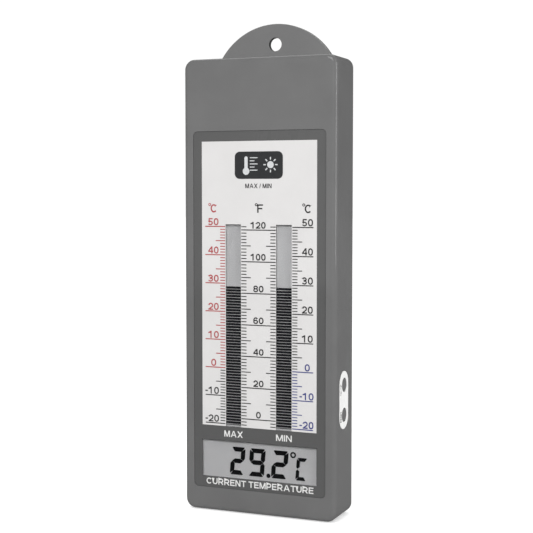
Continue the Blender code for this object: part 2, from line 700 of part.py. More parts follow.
def main():
    for item in list(bpy.data.objects):
        bpy.data.objects.remove(item)

    case_grey = plastic("case_grey", (0.19, 0.19, 0.19), 0.42)
    print_grey = plastic("print_grey", (0.13, 0.13, 0.13), 0.35)
    print_white = plastic("print_white", (0.75, 0.74, 0.72), 0.4)
    clear = plastic("clear_acrylic", (0.8, 0.85, 0.85), 0.05)
    cell_grey = plastic("cell_grey", (0.42, 0.43, 0.40), 0.15)
    frame_white = plastic("frame_white", (0.7, 0.7, 0.66), 0.5)
    zebra_pink = plastic("zebra_rubber", (0.55, 0.3, 0.3), 0.7)
    board_green = plastic("board_green", (0.03, 0.17, 0.07), 0.4)
    resin_black = plastic("resin_black", (0.015, 0.015, 0.015), 0.3)
    sleeve_blue = plastic("sleeve_blue", (0.03, 0.05, 0.16), 0.35)
    bead_ochre = plastic("bead_ochre", (0.45, 0.25, 0.06), 0.4)
    switch_black = plastic("switch_black", (0.02, 0.02, 0.02), 0.45)
    cell_jacket = plastic("cell_jacket", (0.05, 0.09, 0.2), 0.35)
    wire_red = plastic("wire_red", (0.5, 0.02, 0.02), 0.45)
    wire_black = plastic("wire_black", (0.015, 0.015, 0.015), 0.45)
    steel = metal("screw_steel", (0.6, 0.6, 0.6), 0.3)
    nickel = metal("nickel", (0.72, 0.7, 0.66), 0.25)

    front_case(case_grey)
    rear_cover(case_grey)
    battery_door(case_grey)
    face_overlay(print_grey)
    scale_plate(print_white)
    display_lens(clear)
    lcd_glass(cell_grey)
    lcd_frame(frame_white)
    zebra_strip("zebra_strip_left", -1, zebra_pink)
    zebra_strip("zebra_strip_right", 1, zebra_pink)

    main_board(board_green)
    chip_blob(resin_black)
    clock_crystal(nickel)
    reservoir_capacitor(sleeve_blue)
    for i, x in enumerate(RESISTOR_X):
        chip_resistor(f"resistor_{i + 1}", x, resin_black)
    temperature_sensor(bead_ochre)

    button_label(print_white)
    for place, z in zip(("upper", "lower"), BUTTON_ZS):
        push_button(f"button_{place}", z, case_grey)
        side_switch(f"switch_{place}", z, switch_black)
        switch_plunger(f"plunger_{place}", z, frame_white)

    battery(cell_jacket)
    battery_spring(nickel)
    contact_plate("battery_plate_plus", PLUS_Z, (PLUS_Z[0], TERMINAL_ENDS[0]), nickel)
    contact_plate("battery_plate_minus", MINUS_Z, (TERMINAL_ENDS[1], MINUS_Z[1]), nickel)
    plus = TERMINAL_ENDS[0] + 0.4
    minus = TERMINAL_ENDS[1] - 0.4
    route = ((0, WIRE_Y, plus), (0, WIRE_Y, plus + 2.9), (3, -11.5, plus + 7.4), (7, PART_Y, plus + 11.4))
    battery_wire("wire_plus", route, wire_red)
    route = ((0, WIRE_Y, minus), (0, WIRE_Y, minus - 1.9), (7, -11.5, minus - 2.9), (12, PART_Y, minus - 4.4))
    battery_wire("wire_minus", route, wire_black)

    head = (CASE_HEAD_R, CASE_HEAD_Y, CUP_FLOOR_Y[1] + GAP)
    for i, (x, z) in enumerate(CASE_SCREWS):
        screw(f"case_screw_{i + 1}", x, z, head, (CASE_SCREW_R, CASE_SCREW_TIP_Y), steel)
    head = (2.2, -14.3, PART_Y)
    for i, (x, z) in enumerate(BOARD_SCREWS):
        screw(f"board_screw_{i + 1}", x, z, head, (BOARD_SCREW_R, BOARD_SCREW_TIP_Y), steel)


main()
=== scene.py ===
import math

import bmesh
import bpy
from bpy.props import FloatProperty, FloatVectorProperty, IntProperty, PointerProperty, StringProperty
from mathutils import Matrix, Vector
from mathutils.geometry import delaunay_2d_cdt


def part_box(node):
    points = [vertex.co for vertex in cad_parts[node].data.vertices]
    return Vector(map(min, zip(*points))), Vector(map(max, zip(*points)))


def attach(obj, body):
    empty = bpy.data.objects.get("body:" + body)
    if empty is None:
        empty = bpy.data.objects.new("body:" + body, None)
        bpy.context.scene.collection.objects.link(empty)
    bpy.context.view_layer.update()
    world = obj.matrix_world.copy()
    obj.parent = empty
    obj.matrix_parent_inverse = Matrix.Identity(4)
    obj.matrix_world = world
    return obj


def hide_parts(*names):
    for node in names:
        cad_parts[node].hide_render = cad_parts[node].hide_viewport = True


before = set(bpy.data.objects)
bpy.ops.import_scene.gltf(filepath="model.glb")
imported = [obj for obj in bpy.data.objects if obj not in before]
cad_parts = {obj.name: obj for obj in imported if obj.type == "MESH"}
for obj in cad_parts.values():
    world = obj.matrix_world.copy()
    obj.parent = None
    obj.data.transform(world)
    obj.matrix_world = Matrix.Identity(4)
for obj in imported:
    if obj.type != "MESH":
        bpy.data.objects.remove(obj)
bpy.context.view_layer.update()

bl_info = {
    "name": "Maximum Minimum Thermometer",
    "version": (1, 0, 0),
    "blender": (4, 5, 0),
    "location": "3D View > Sidebar > Thermometer",
    "description": "Builds the finished surfaces of a wall-hung digital maximum minimum thermometer",
    "category": "Object",
}

MM = 0.001


def span(node, axis):
    """Lowest and highest place of a CAD node on an axis, in millimetres."""
    low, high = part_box(node)
    return low[axis] / MM, high[axis] / MM


# ---------------------------------------------------------------- sizes, in millimetres, from the frame

X, Y, Z = 0, 1, 2
CASE_X, CASE_Y, CASE_Z = span("front_case", X), span("front_case", Y), span("front_case", Z)
FRONT, HALF_W, HALF_H = CASE_Y[0], CASE_X[1], CASE_Z[1]
SHEET_X, SHEET_Y, SHEET_Z = span("face_overlay", X), span("face_overlay", Y), span("face_overlay", Z)
PLATE_X, PLATE_Z = span("scale_plate", X), span("scale_plate", Z)
LENS_Y = span("display_lens", Y)
GLASS_X, GLASS_Y, GLASS_Z = span("lcd_glass", X), span("lcd_glass", Y), span("lcd_glass", Z)
LABEL_X, LABEL_Y, LABEL_Z = span("button_label", X), span("button_label", Y), span("button_label", Z)
LID_X, LID_Y, LID_Z = span("battery_door", X), span("battery_door", Y), span("battery_door", Z)
CELL_X, CELL_Y, CELL_Z = span("battery", X), span("battery", Y), span("battery", Z)
SPRING_Z = span("battery_spring", Z)
SIDE_BUTTONS = {"upper": span("button_upper", Z), "lower": span("button_lower", Z)}
BUTTON_X, BUTTON_Y = span("button_upper", X), sum(span("button_upper", Y)) / 2
CASE_SCREWS = [f"case_screw_{i + 1}" for i in range(6)]

GAP = 0.3
THIN_GAP = 0.2
BEYOND = 5.0  # how far a cutter reaches clear of what it cuts
SNUG = 0.24  # how far the surround reaches into the gap round it
CORNER_R = 5.0
FACE_FILLET = 2.3
WALL = 2.2
FACE_INNER = -20.2
SEAM_CHAMFER = 0.35
RECESS_R, RECESS_FLOOR = 2.2, LENS_Y[1] + THIN_GAP
SHEET_R, WINDOW_R = 1.9, 0.25
COVER_T, COVER_R = 2.5, 2.5
TAB_R, TAB_Z = 34.6, 95.2
HANG_Z, HANG_R = 119.7, 3.3
BAR_X, BAR_HALF = 13.35, 4.15
BAR_WINDOWS = {"max": (-17.6, -9.4), "min": (9.05, 17.25)}
BAR_TOP = 31.0
DIGITS_X, DIGITS_Z = 30.25, (-94.45, -75.95)
PRINT_SHIFT = -0.15  # the printed sheets and their recess sit a little off the middle
SCREW_HEAD_R, CUP_R, CUP_FLOOR = 2.8, 3.2, -4.6
BUTTON_R = 3.2
BUTTON_HOLE_X = (36.0, 46.0)
COVER_TINT, BUTTON_TINT = 1.14, 1.05  # how much paler their plastic is than the case's

# The bosses that the case screws bite into, and the rear cover's screw cups and vents.
BOSS_R, BOSS_TOP, PILOT_R, PILOT_END = 3.3, -6.3, 1.55, -17.5
CUP_WALL, CUP_DEPTH, CUP_HOLE_R, CUP_FLARE = 1.2, -6.0, 1.6, 1.3
INTO_COVER = -1.0  # where shapes that stand on the cover's inside start, within its plate
VENT_Z, VENT_HALF_W, VENT_R = (-100.0, -91.0), 0.8, 0.75

# The battery lid, the ledge it lies on and the well for the battery, all in the rear cover.
LID_HALF_W = LID_X[1]
LID_FOOT, LID_HEAD = -84.5, LID_Z[1]
LID_Y_SPAN = (-1.8, LID_Y[1])
HOOK_X, HOOK_HALF_W = 8.85, 1.15
LEDGE_HALF_W, LEDGE_Y, LEDGE_Z = 12.5, (-4.0, -2.1), (-79.0, -25.5)
WELL_HALF_W, WELL_DEPTH, WELL_Z = 7.05, -14.4, (-83.4, -29.6)
POCKET_HALF_W, POCKET_Y, POCKET_Z = 5.75, (-13.2, 7.0), (-82.1, -30.9)

# The scale: a height for every temperature.
TOP_DEGREE, TOP_HEIGHT, DEGREE = 50, 29.87, 1.392
LOWEST_DEGREE = -20
MAX_READING, MIN_READING = 29, 29
PRINT_PROUD = 0.05  # how far ink stands off its sheet
INK = 0.03


def height_of(celsius):
    return TOP_HEIGHT - (TOP_DEGREE - celsius) * DEGREE


# ---------------------------------------------------------------- outlines


def arc(cx, cy, r, start, end, steps):
    """Points along a circle, with the angles in degrees and both ends in."""
    turns = [math.radians(start + (end - start) * i / steps) for i in range(steps + 1)]
    return [(cx + r * math.cos(t), cy + r * math.sin(t)) for t in turns]


def rounded(x0, x1, z0, z1, r, steps=10):
    """A rectangle with round corners, anticlockwise."""
    corners = ((x1 - r, z0 + r, -90), (x1 - r, z1 - r, 0), (x0 + r, z1 - r, 90), (x0 + r, z0 + r, 180))
    return [p for cx, cz, a in corners for p in arc(cx, cz, r, a, a + 90, steps)]


def rectangle(x0, x1, z0, z1):
    return [(x0, z0), (x1, z0), (x1, z1), (x0, z1)]


def circle(cx, cy, r, sides=48):
    return arc(cx, cy, r, 0, 360, sides)[:-1]


def stadium(cy, cz, width, height, steps=24):
    """An upright slot with round ends."""
    r, reach = width / 2, height / 2 - width / 2
    return arc(cy, cz + reach, r, 0, 180, steps) + arc(cy, cz - reach, r, 180, 360, steps)


def cover_outline(inset):
    """The rear cover's plate with the round hanging tab rising out of its top edge, drawn in by inset."""
    half_w, top = HALF_W - WALL - GAP - inset, HALF_H - WALL - GAP - inset
    plate = rounded(-half_w, half_w, -top, top, COVER_R - inset, 8)
    r = TAB_R - inset
    neck = math.degrees(math.asin((top - TAB_Z) / r))
    corner = len(plate) // 2
    return plate[:corner] + arc(0, TAB_Z, r, neck, 180 - neck, 90) + plate[corner:]


# ---------------------------------------------------------------- meshes

AXES = {"X": Matrix(((0, 0, 1), (1, 0, 0), (0, 1, 0))), "Y": Matrix(((1, 0, 0), (0, 0, 1), (0, 1, 0)))}
AXES["Z"] = Matrix.Identity(3)


def add_loft(bm, rings, axis="Y"):
    """A closed solid through outlines of equal length, each given as (outline, place on the axis)."""
    turn = AXES[axis]
    loops = [[bm.verts.new(turn @ Vector((a, b, at)) * MM) for a, b in outline] for outline, at in rings]
    faces = [bm.faces.new(loops[0]), bm.faces.new(loops[-1])]
    count = len(loops[0])
    for low, high in zip(loops, loops[1:]):
        for i in range(count):
            j = (i + 1) % count
            faces.append(bm.faces.new((low[i], low[j], high[j], high[i])))
    bmesh.ops.recalc_face_normals(bm, faces=faces)
    return faces


def add_prism(bm, outline, low, high, axis="Y"):
    return add_loft(bm, ((outline, low), (outline, high)), axis)


def add_box(bm, x, y, z):
    return add_prism(bm, rectangle(x[0], x[1], z[0], z[1]), y[0], y[1])


def add_turned(bm, profile, centre, axis="Z", sides=48):
    """Turns a profile of (radius, height) points about an axis through a centre."""
    turn, rings = AXES[axis], []
    for r, h in profile:
        ring = circle(0, 0, r, sides) if r > 0 else [(0.0, 0.0)]
        rings.append([bm.verts.new((turn @ Vector((a, b, h)) + Vector(centre)) * MM) for a, b in ring])
    faces = [bm.faces.new(ring) for ring in (rings[0], rings[-1]) if len(ring) > 1]
    for low, high in zip(rings, rings[1:]):
        for i in range(sides):
            j = (i + 1) % sides
            corners = [low[i % len(low)], low[j % len(low)], high[j % len(high)], high[i % len(high)]]
            faces.append(bm.faces.new(list(dict.fromkeys(corners))))
    bmesh.ops.recalc_face_normals(bm, faces=faces)


def fillet(r, start, end, centre, steps=6):
    """A quarter round of a turned profile, as (radius, height) points."""
    return [(centre[0] + a, centre[1] + b) for a, b in arc(0, 0, r, start, end, steps)]


def new_object(name, bm):
    mesh = bpy.data.meshes.new(name)
    bm.to_mesh(mesh)
    bm.free()
    item = bpy.data.objects.new(name, mesh)
    bpy.context.scene.collection.objects.link(item)
    return item


def combine(item, bm, operation):
    """Cuts the shapes in bm from a piece, or joins them to it, and keeps the result as its mesh."""
    tool = new_object(f"{item.name}_tool", bm)
    modifier = item.modifiers.new("shape", "BOOLEAN")
    modifier.operation = operation
    modifier.solver = "EXACT"
    modifier.object = tool
    bpy.context.view_layer.update()
    shaped = bpy.data.meshes.new_from_object(item.evaluated_get(bpy.context.evaluated_depsgraph_get()))
    item.modifiers.clear()
    old, item.data = item.data, shaped
    bpy.data.meshes.remove(old)
    bpy.data.objects.remove(tool)


def place(item, material, body, replaces=(), angle=32):
    """Shades a finished piece, gives it its material and ties it to its body and nodes."""
    item.data.materials.clear()
    item.data.materials.append(material)
    if item.type == "MESH":
        item.data.shade_smooth()
        item.data.set_sharp_from_angle(angle=math.radians(angle))
        weigh = item.modifiers.new("weighted_normals", "WEIGHTED_NORMAL")
        weigh.keep_sharp = True
    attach(item, body)
    if replaces:
        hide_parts(*replaces)
    return item


# ---------------------------------------------------------------- node groups


def new_group(name, inputs, outputs):
    """A shader node group with named sockets. Returns the group and its two ends."""
    group = bpy.data.node_groups.new(name, "ShaderNodeTree")
    for direction, sockets in (("INPUT", inputs), ("OUTPUT", outputs)):
        for label, kind, value in sockets:
            socket = group.interface.new_socket(label, in_out=direction, socket_type=f"NodeSocket{kind}")
            if value is not None:
                socket.default_value = value
    ends = group.nodes.new("NodeGroupInput"), group.nodes.new("NodeGroupOutput")
    ends[0].location = (-900, 0)
    ends[1].location = (500, 0)
    return group, *ends


def node(tree, kind, at, **settings):
    """A node with its properties and, by socket name or number, its values set."""
    made = tree.nodes.new(f"ShaderNode{kind}")
    made.location = at
    for key, value in settings.items():
        if key == "values":
            for socket, number in value.items():
                made.inputs[socket].default_value = number
        else:
            setattr(made, key, value)
    return made


def moulded_grain():
    """Fine spark-eroded grain with slow patches of colour and gloss, as on a moulding."""
    group, start, end = new_group(
        "moulded_grain",
        (("Color", "Color", (0.2, 0.2, 0.2, 1)), ("Grain", "Float", 2600.0), ("Patches", "Float", 45.0),
         ("Variation", "Float", 0.05), ("Gloss", "Float", 0.4), ("Gloss Variation", "Float", 0.06)),
        (("Color", "Color", None), ("Roughness", "Float", None), ("Height", "Float", None)),
    )
    place_of = node(group, "TexCoord", (-900, 300))
    grain = node(group, "TexNoise", (-650, 300), values={"Detail": 4.0, "Roughness": 0.6})
    patches = node(group, "TexNoise", (-650, 0), values={"Detail": 3.0, "Roughness": 0.5})
    pits = node(group, "TexVoronoi", (-650, -300), feature="F1")
    for texture, scale in ((grain, "Grain"), (patches, "Patches"), (pits, "Grain")):
        group.links.new(place_of.outputs["Object"], texture.inputs["Vector"])
        group.links.new(start.outputs[scale], texture.inputs["Scale"])
    spread = node(group, "MapRange", (-400, 0), values={1: 0.3, 2: 0.7, 3: -1.0, 4: 1.0})
    group.links.new(patches.outputs[0], spread.inputs[0])
    share = node(group, "Math", (-200, 0), operation="MULTIPLY_ADD", values={2: 1.0})
    group.links.new(spread.outputs[0], share.inputs[0])
    group.links.new(start.outputs["Variation"], share.inputs[1])
    tint = node(group, "VectorMath", (50, 100), operation="SCALE")
    group.links.new(start.outputs["Color"], tint.inputs[0])
    group.links.new(share.outputs[0], tint.inputs["Scale"])
    gloss = node(group, "Math", (50, -100), operation="MULTIPLY_ADD")
    group.links.new(spread.outputs[0], gloss.inputs[0])
    group.links.new(start.outputs["Gloss Variation"], gloss.inputs[1])
    group.links.new(start.outputs["Gloss"], gloss.inputs[2])
    relief = node(group, "Math", (50, -300), operation="MULTIPLY")
    group.links.new(grain.outputs[0], relief.inputs[0])
    group.links.new(pits.outputs["Distance"], relief.inputs[1])
    group.links.new(tint.outputs[0], end.inputs["Color"])
    group.links.new(gloss.outputs[0], end.inputs["Roughness"])
    group.links.new(relief.outputs[0], end.inputs["Height"])
    return group


def handled_edges():
    """Rubs a colour lighter where edges and corners stick out."""
    group, start, end = new_group(
        "handled_edges",
        (("Color", "Color", (0.2, 0.2, 0.2, 1)), ("Rubbed", "Color", (0.3, 0.3, 0.3, 1)),
         ("Width", "Float", 0.0005), ("Amount", "Float", 0.35), ("Breakup", "Float", 700.0)),
        (("Color", "Color", None), ("Mask", "Float", None)),
    )
    true_normal = node(group, "NewGeometry", (-900, 300))
    soft = node(group, "Bevel", (-650, 100), samples=4)
    group.links.new(start.outputs["Width"], soft.inputs["Radius"])
    cosine = node(group, "VectorMath", (-450, 200), operation="DOT_PRODUCT")
    group.links.new(true_normal.outputs["Normal"], cosine.inputs[0])
    group.links.new(soft.outputs["Normal"], cosine.inputs[1])
    bent = node(group, "MapRange", (-250, 200), values={1: 0.995, 2: 0.86, 3: 0.0, 4: 1.0})
    group.links.new(cosine.outputs["Value"], bent.inputs[0])
    place_of = node(group, "TexCoord", (-900, -200))
    breakup = node(group, "TexNoise", (-650, -200), values={"Detail": 5.0, "Roughness": 0.7})
    group.links.new(place_of.outputs["Object"], breakup.inputs["Vector"])
    group.links.new(start.outputs["Breakup"], breakup.inputs["Scale"])
    worn = node(group, "MapRange", (-450, -200), values={1: 0.4, 2: 0.65, 3: 0.2, 4: 1.0})
    group.links.new(breakup.outputs[0], worn.inputs[0])
    mask = node(group, "Math", (-50, 100), operation="MULTIPLY")
    group.links.new(bent.outputs[0], mask.inputs[0])
    group.links.new(worn.outputs[0], mask.inputs[1])
    amount = node(group, "Math", (100, 100), operation="MULTIPLY")
    group.links.new(mask.outputs[0], amount.inputs[0])
    group.links.new(start.outputs["Amount"], amount.inputs[1])
    blend = node(group, "Mix", (280, 0), data_type="RGBA")
    group.links.new(amount.outputs[0], blend.inputs["Factor"])
    group.links.new(start.outputs["Color"], blend.inputs["A"])
    group.links.new(start.outputs["Rubbed"], blend.inputs["B"])
    group.links.new(blend.outputs["Result"], end.inputs["Color"])
    group.links.new(amount.outputs[0], end.inputs["Mask"])
    return group


def sheet_smudge():
    """Long faint wipe marks and specks in the gloss of a smooth sheet."""
    group, start, end = new_group(
        "sheet_smudge",
        (("Gloss", "Float", 0.2), ("Amount", "Float", 0.08), ("Scale", "Float", 30.0)),
        (("Roughness", "Float", None), ("Height", "Float", None)),
    )
    place_of = node(group, "TexCoord", (-900, 0))
    stretch = node(
        group, "Mapping", (-700, 0), values={"Rotation": (0.0, 0.5, 0.0), "Scale": (1.0, 1.0, 0.25)},
    )
    wipes = node(group, "TexNoise", (-480, 100), values={"Detail": 6.0, "Roughness": 0.65})
    specks = node(group, "TexNoise", (-480, -200), values={"Scale": 900.0, "Detail": 2.0})
    group.links.new(place_of.outputs["Object"], stretch.inputs["Vector"])
    group.links.new(stretch.outputs[0], wipes.inputs["Vector"])
    group.links.new(place_of.outputs["Object"], specks.inputs["Vector"])
    group.links.new(start.outputs["Scale"], wipes.inputs["Scale"])
    centred = node(group, "MapRange", (-250, 100), values={1: 0.3, 2: 0.7, 3: -0.5, 4: 1.0})
    group.links.new(wipes.outputs[0], centred.inputs[0])
    gloss = node(group, "Math", (0, 100), operation="MULTIPLY_ADD")
    group.links.new(centred.outputs[0], gloss.inputs[0])
    group.links.new(start.outputs["Amount"], gloss.inputs[1])
    group.links.new(start.outputs["Gloss"], gloss.inputs[2])
    group.links.new(gloss.outputs[0], end.inputs["Roughness"])
    group.links.new(specks.outputs[0], end.inputs["Height"])
    return group


def group_of(build):
    """The node group that a function builds, made the first time it is asked for."""
    return bpy.data.node_groups.get(build.__name__) or build()


def add_group(tree, build, at, **values):
    made = tree.nodes.new("ShaderNodeGroup")
    made.node_tree = group_of(build)
    made.location = at
    for label, value in values.items():
        made.inputs[label.replace("_", " ")].default_value = value
    return made


# ---------------------------------------------------------------- materials


def new_material(name):
    """An empty material with its Principled shader. Returns the material, its tree and the shader."""
    material = bpy.data.materials.new(name)
    material.use_nodes = True
    tree = material.node_tree
    shader = tree.nodes["Principled BSDF"]
    return material, tree, shader


def add_bump(tree, shader, height, distance, strength):
    bump = node(tree, "Bump", (-200, -300), values={"Strength": strength, "Distance": distance})
    tree.links.new(height, bump.inputs["Height"])
    tree.links.new(bump.outputs["Normal"], shader.inputs["Normal"])


def add_gloss_skin(shader, weight, roughness, body=0.1):
    """A smooth skin that mirrors the room over a duller body."""
    shader.inputs["Coat Weight"].default_value = weight
    shader.inputs["Coat Roughness"].default_value = roughness
    shader.inputs["Specular IOR Level"].default_value = body


def opaque(color):
    return (*color, 1.0)


def moulded_plastic(name, color, gloss, grain=2600.0, skin=0.0):
    """Moulded plastic: grain, slow patches, and edges that handling has rubbed lighter."""
    material, tree, shader = new_material(name)
    if skin:
        add_gloss_skin(shader, skin, 0.07)
    texture = add_group(
        tree, moulded_grain, (-700, 0),
        Color=opaque(color), Grain=grain, Patches=45.0, Variation=0.05, Gloss=gloss, Gloss_Variation=0.05,
    )
    edges = add_group(
        tree, handled_edges, (-450, 200),
        Rubbed=opaque([min(1.0, c * 1.5) for c in color]), Width=0.0005, Amount=0.4, Breakup=700.0,
    )
    tree.links.new(texture.outputs["Color"], edges.inputs["Color"])
    tree.links.new(edges.outputs["Color"], shader.inputs["Base Color"])
    tree.links.new(texture.outputs["Roughness"], shader.inputs["Roughness"])
    add_bump(tree, shader, texture.outputs["Height"], 0.00002, 0.35)
    return material


def printed_sheet(name, color, gloss, skin=1.0):
    """Ink under a smooth film, with faint wipe marks."""
    material, tree, shader = new_material(name)
    add_gloss_skin(shader, skin, 0.05)
    texture = add_group(
        tree, moulded_grain, (-700, 200),
        Color=opaque(color), Grain=5200.0, Patches=60.0, Variation=0.02, Gloss=gloss, Gloss_Variation=0.02,
    )
    wipes = add_group(tree, sheet_smudge, (-700, -200), Gloss=gloss, Amount=0.06, Scale=30.0)
    tree.links.new(texture.outputs["Color"], shader.inputs["Base Color"])
    tree.links.new(wipes.outputs["Roughness"], shader.inputs["Roughness"])
    add_bump(tree, shader, wipes.outputs["Height"], 0.00001, 0.06)
    return material


def printing_ink(name, color, shine=0.5):
    """Screen-printed ink: flat and slightly mottled."""
    material, tree, shader = new_material(name)
    shader.inputs["Specular IOR Level"].default_value = shine
    texture = add_group(
        tree, moulded_grain, (-500, 0),
        Color=opaque(color), Grain=6500.0, Patches=900.0, Variation=0.08, Gloss=0.45, Gloss_Variation=0.05,
    )
    tree.links.new(texture.outputs["Color"], shader.inputs["Base Color"])
    tree.links.new(texture.outputs["Roughness"], shader.inputs["Roughness"])
    add_bump(tree, shader, texture.outputs["Height"], 0.00001, 0.15)
    return material


def plated_metal(name, color, gloss, brush=(1.0, 1.0, 14.0)):
    """Plated metal with fine drawn lines."""
    material, tree, shader = new_material(name)
    shader.inputs["Metallic"].default_value = 1.0
    place_of = node(tree, "TexCoord", (-1100, 0))
    stretch = node(tree, "Mapping", (-900, 0), values={"Scale": brush})
    lines = node(tree, "TexNoise", (-700, 0), values={"Scale": 900.0, "Detail": 5.0, "Roughness": 0.6})
    tree.links.new(place_of.outputs["Object"], stretch.inputs["Vector"])
    tree.links.new(stretch.outputs[0], lines.inputs["Vector"])
    shade = node(tree, "MapRange", (-450, 200), values={1: 0.3, 2: 0.7, 3: 0.82, 4: 1.0})
    tint = node(tree, "VectorMath", (-250, 200), operation="SCALE", values={0: color})
    rough = node(tree, "MapRange", (-450, -100), values={1: 0.3, 2: 0.7, 3: gloss * 0.75, 4: gloss * 1.35})
    tree.links.new(lines.outputs[0], shade.inputs[0])
    tree.links.new(shade.outputs[0], tint.inputs["Scale"])
    tree.links.new(tint.outputs[0], shader.inputs["Base Color"])
    tree.links.new(lines.outputs[0], rough.inputs[0])
    tree.links.new(rough.outputs[0], shader.inputs["Roughness"])
    add_bump(tree, shader, lines.outputs[0], 0.00001, 0.2)
    return material


def clear_lens(name):
    """Clear acrylic that lets lamps through to what lies behind it."""
    material, tree, shader = new_material(name)
    shader.inputs["Base Color"].default_value = (0.97, 0.98, 0.98, 1)
    shader.inputs["Transmission Weight"].default_value = 1.0
    shader.inputs["IOR"].default_value = 1.49
    wipes = add_group(tree, sheet_smudge, (-500, 0), Gloss=0.02, Amount=0.02, Scale=40.0)
    tree.links.new(wipes.outputs["Roughness"], shader.inputs["Roughness"])
    path = node(tree, "LightPath", (0, 300))
    through = node(tree, "BsdfTransparent", (0, -200))
    choose = node(tree, "MixShader", (250, 100))
    tree.links.new(path.outputs["Is Shadow Ray"], choose.inputs[0])
    tree.links.new(shader.outputs[0], choose.inputs[1])
    tree.links.new(through.outputs[0], choose.inputs[2])
    tree.links.new(choose.outputs[0], tree.nodes["Material Output"].inputs["Surface"])
    return material


def polariser(name, color):
    """The cell's grey film: fine grain and slow patches under a satin surface."""
    material, tree, shader = new_material(name)
    texture = add_group(
        tree, moulded_grain, (-700, 0),
        Color=opaque(color), Grain=7000.0, Patches=25.0, Variation=0.03, Gloss=0.35, Gloss_Variation=0.03,
    )
    tree.links.new(texture.outputs["Color"], shader.inputs["Base Color"])
    tree.links.new(texture.outputs["Roughness"], shader.inputs["Roughness"])
    add_bump(tree, shader, texture.outputs["Height"], 0.00001, 0.2)
    return material


def circuit_board(name, color):
    """Green solder mask over copper runs, drawn as bricks of lighter and darker green."""
    material, tree, shader = new_material(name)
    place_of = node(tree, "TexCoord", (-1100, 0))
    runs = node(tree, "TexBrick", (-850, 100), offset=0.5, values={
        "Scale": 180.0, "Mortar Size": 0.12, "Brick Width": 1.6, "Row Height": 0.3,
        "Color1": opaque(color), "Color2": opaque([c * 1.25 for c in color]),
        "Mortar": opaque([c * 0.55 for c in color]),
    })
    stretch = node(tree, "Mapping", (-1000, -200), values={"Rotation": (math.pi / 2, 0.0, 0.0)})
    tree.links.new(place_of.outputs["Object"], stretch.inputs["Vector"])
    tree.links.new(stretch.outputs[0], runs.inputs["Vector"])
    texture = add_group(
        tree, moulded_grain, (-500, 0),
        Grain=4000.0, Patches=80.0, Variation=0.08, Gloss=0.3, Gloss_Variation=0.05,
    )
    tree.links.new(runs.outputs["Color"], texture.inputs["Color"])
    tree.links.new(texture.outputs["Color"], shader.inputs["Base Color"])
    tree.links.new(texture.outputs["Roughness"], shader.inputs["Roughness"])
    add_bump(tree, shader, runs.outputs["Fac"], 0.00003, 0.3)
    return material


def layered_rubber(name, dark, pale):
    """The contact strip: thin black and pale layers, stacked along its length."""
    material, tree, shader = new_material(name)
    shader.inputs["Roughness"].default_value = 0.7
    place_of = node(tree, "TexCoord", (-900, 0))
    layers = node(tree, "TexWave", (-650, 0), wave_type="BANDS", bands_direction="Z", values={"Scale": 900.0})
    pick = node(tree, "Mix", (-350, 0), data_type="RGBA")
    pick.inputs["A"].default_value = opaque(dark)
    pick.inputs["B"].default_value = opaque(pale)
    tree.links.new(place_of.outputs["Object"], layers.inputs["Vector"])
    tree.links.new(layers.outputs["Fac"], pick.inputs["Factor"])
    tree.links.new(pick.outputs["Result"], shader.inputs["Base Color"])
    add_bump(tree, shader, layers.outputs["Fac"], 0.00002, 0.3)
    return material


def battery_jacket(name, body, band):
    """A plain battery jacket with one coloured band at its positive end."""
    material, tree, shader = new_material(name)
    shader.inputs["Coat Weight"].default_value = 0.4
    place_of = node(tree, "NewGeometry", (-1100, 0))
    split = node(tree, "SeparateXYZ", (-900, 0))
    above = node(tree, "Math", (-700, 0), operation="GREATER_THAN", values={1: (CELL_Z[1] - 13.0) * MM})
    pick = node(tree, "Mix", (-500, 0), data_type="RGBA")
    pick.inputs["A"].default_value = opaque(body)
    pick.inputs["B"].default_value = opaque(band)
    texture = add_group(
        tree, moulded_grain, (-300, 0),
        Grain=5000.0, Patches=90.0, Variation=0.05, Gloss=0.28, Gloss_Variation=0.05,
    )
    tree.links.new(place_of.outputs["Position"], split.inputs[0])
    tree.links.new(split.outputs["Z"], above.inputs[0])
    tree.links.new(above.outputs[0], pick.inputs["Factor"])
    tree.links.new(pick.outputs["Result"], texture.inputs["Color"])
    tree.links.new(texture.outputs["Color"], shader.inputs["Base Color"])
    tree.links.new(texture.outputs["Roughness"], shader.inputs["Roughness"])
    add_bump(tree, shader, texture.outputs["Height"], 0.00001, 0.15)
    return material


def shared(name, build, *values, **settings):
    """A material made once under its name."""
    return bpy.data.materials.get(name) or build(name, *values, **settings)


# ---------------------------------------------------------------- lettering
#
# A plain upright face, drawn here. Each glyph is a set of shapes in a box of width w and height h, with
# strokes s thick. The shapes may overlap, because a constrained triangulation joins them into one solid.


def band(points, s, closed=False):
    """Quads that follow a path at an even thickness, mitred at its bends."""
    count = len(points)
    sides = []
    for i, (x, z) in enumerate(points):
        before = points[i - 1] if i or closed else points[i]
        after = points[(i + 1) % count] if i < count - 1 or closed else points[i]
        first, second = Vector((x - before[0], z - before[1])), Vector((after[0] - x, after[1] - z))
        first, second = (first or second).normalized(), (second or first).normalized()
        across = Vector((-first.y - second.y, first.x + second.x)).normalized()
        reach = s / 2 / max(0.4, across.dot(Vector((-first.y, first.x))))
        out_x, out_z = across.x * reach, across.y * reach
        sides.append(((x + out_x, z + out_z), (x - out_x, z - out_z)))
    if closed:
        sides.append(sides[0])
    return [[a[0], a[1], b[1], b[0]] for a, b in zip(sides, sides[1:])]


def bow(cx, cy, rx, ry, start, end, steps=14):
    """A path along an ellipse, with the angles in degrees."""
    return [(cx + rx * a, cy + ry * b) for a, b in arc(0, 0, 1, start, end, steps)]


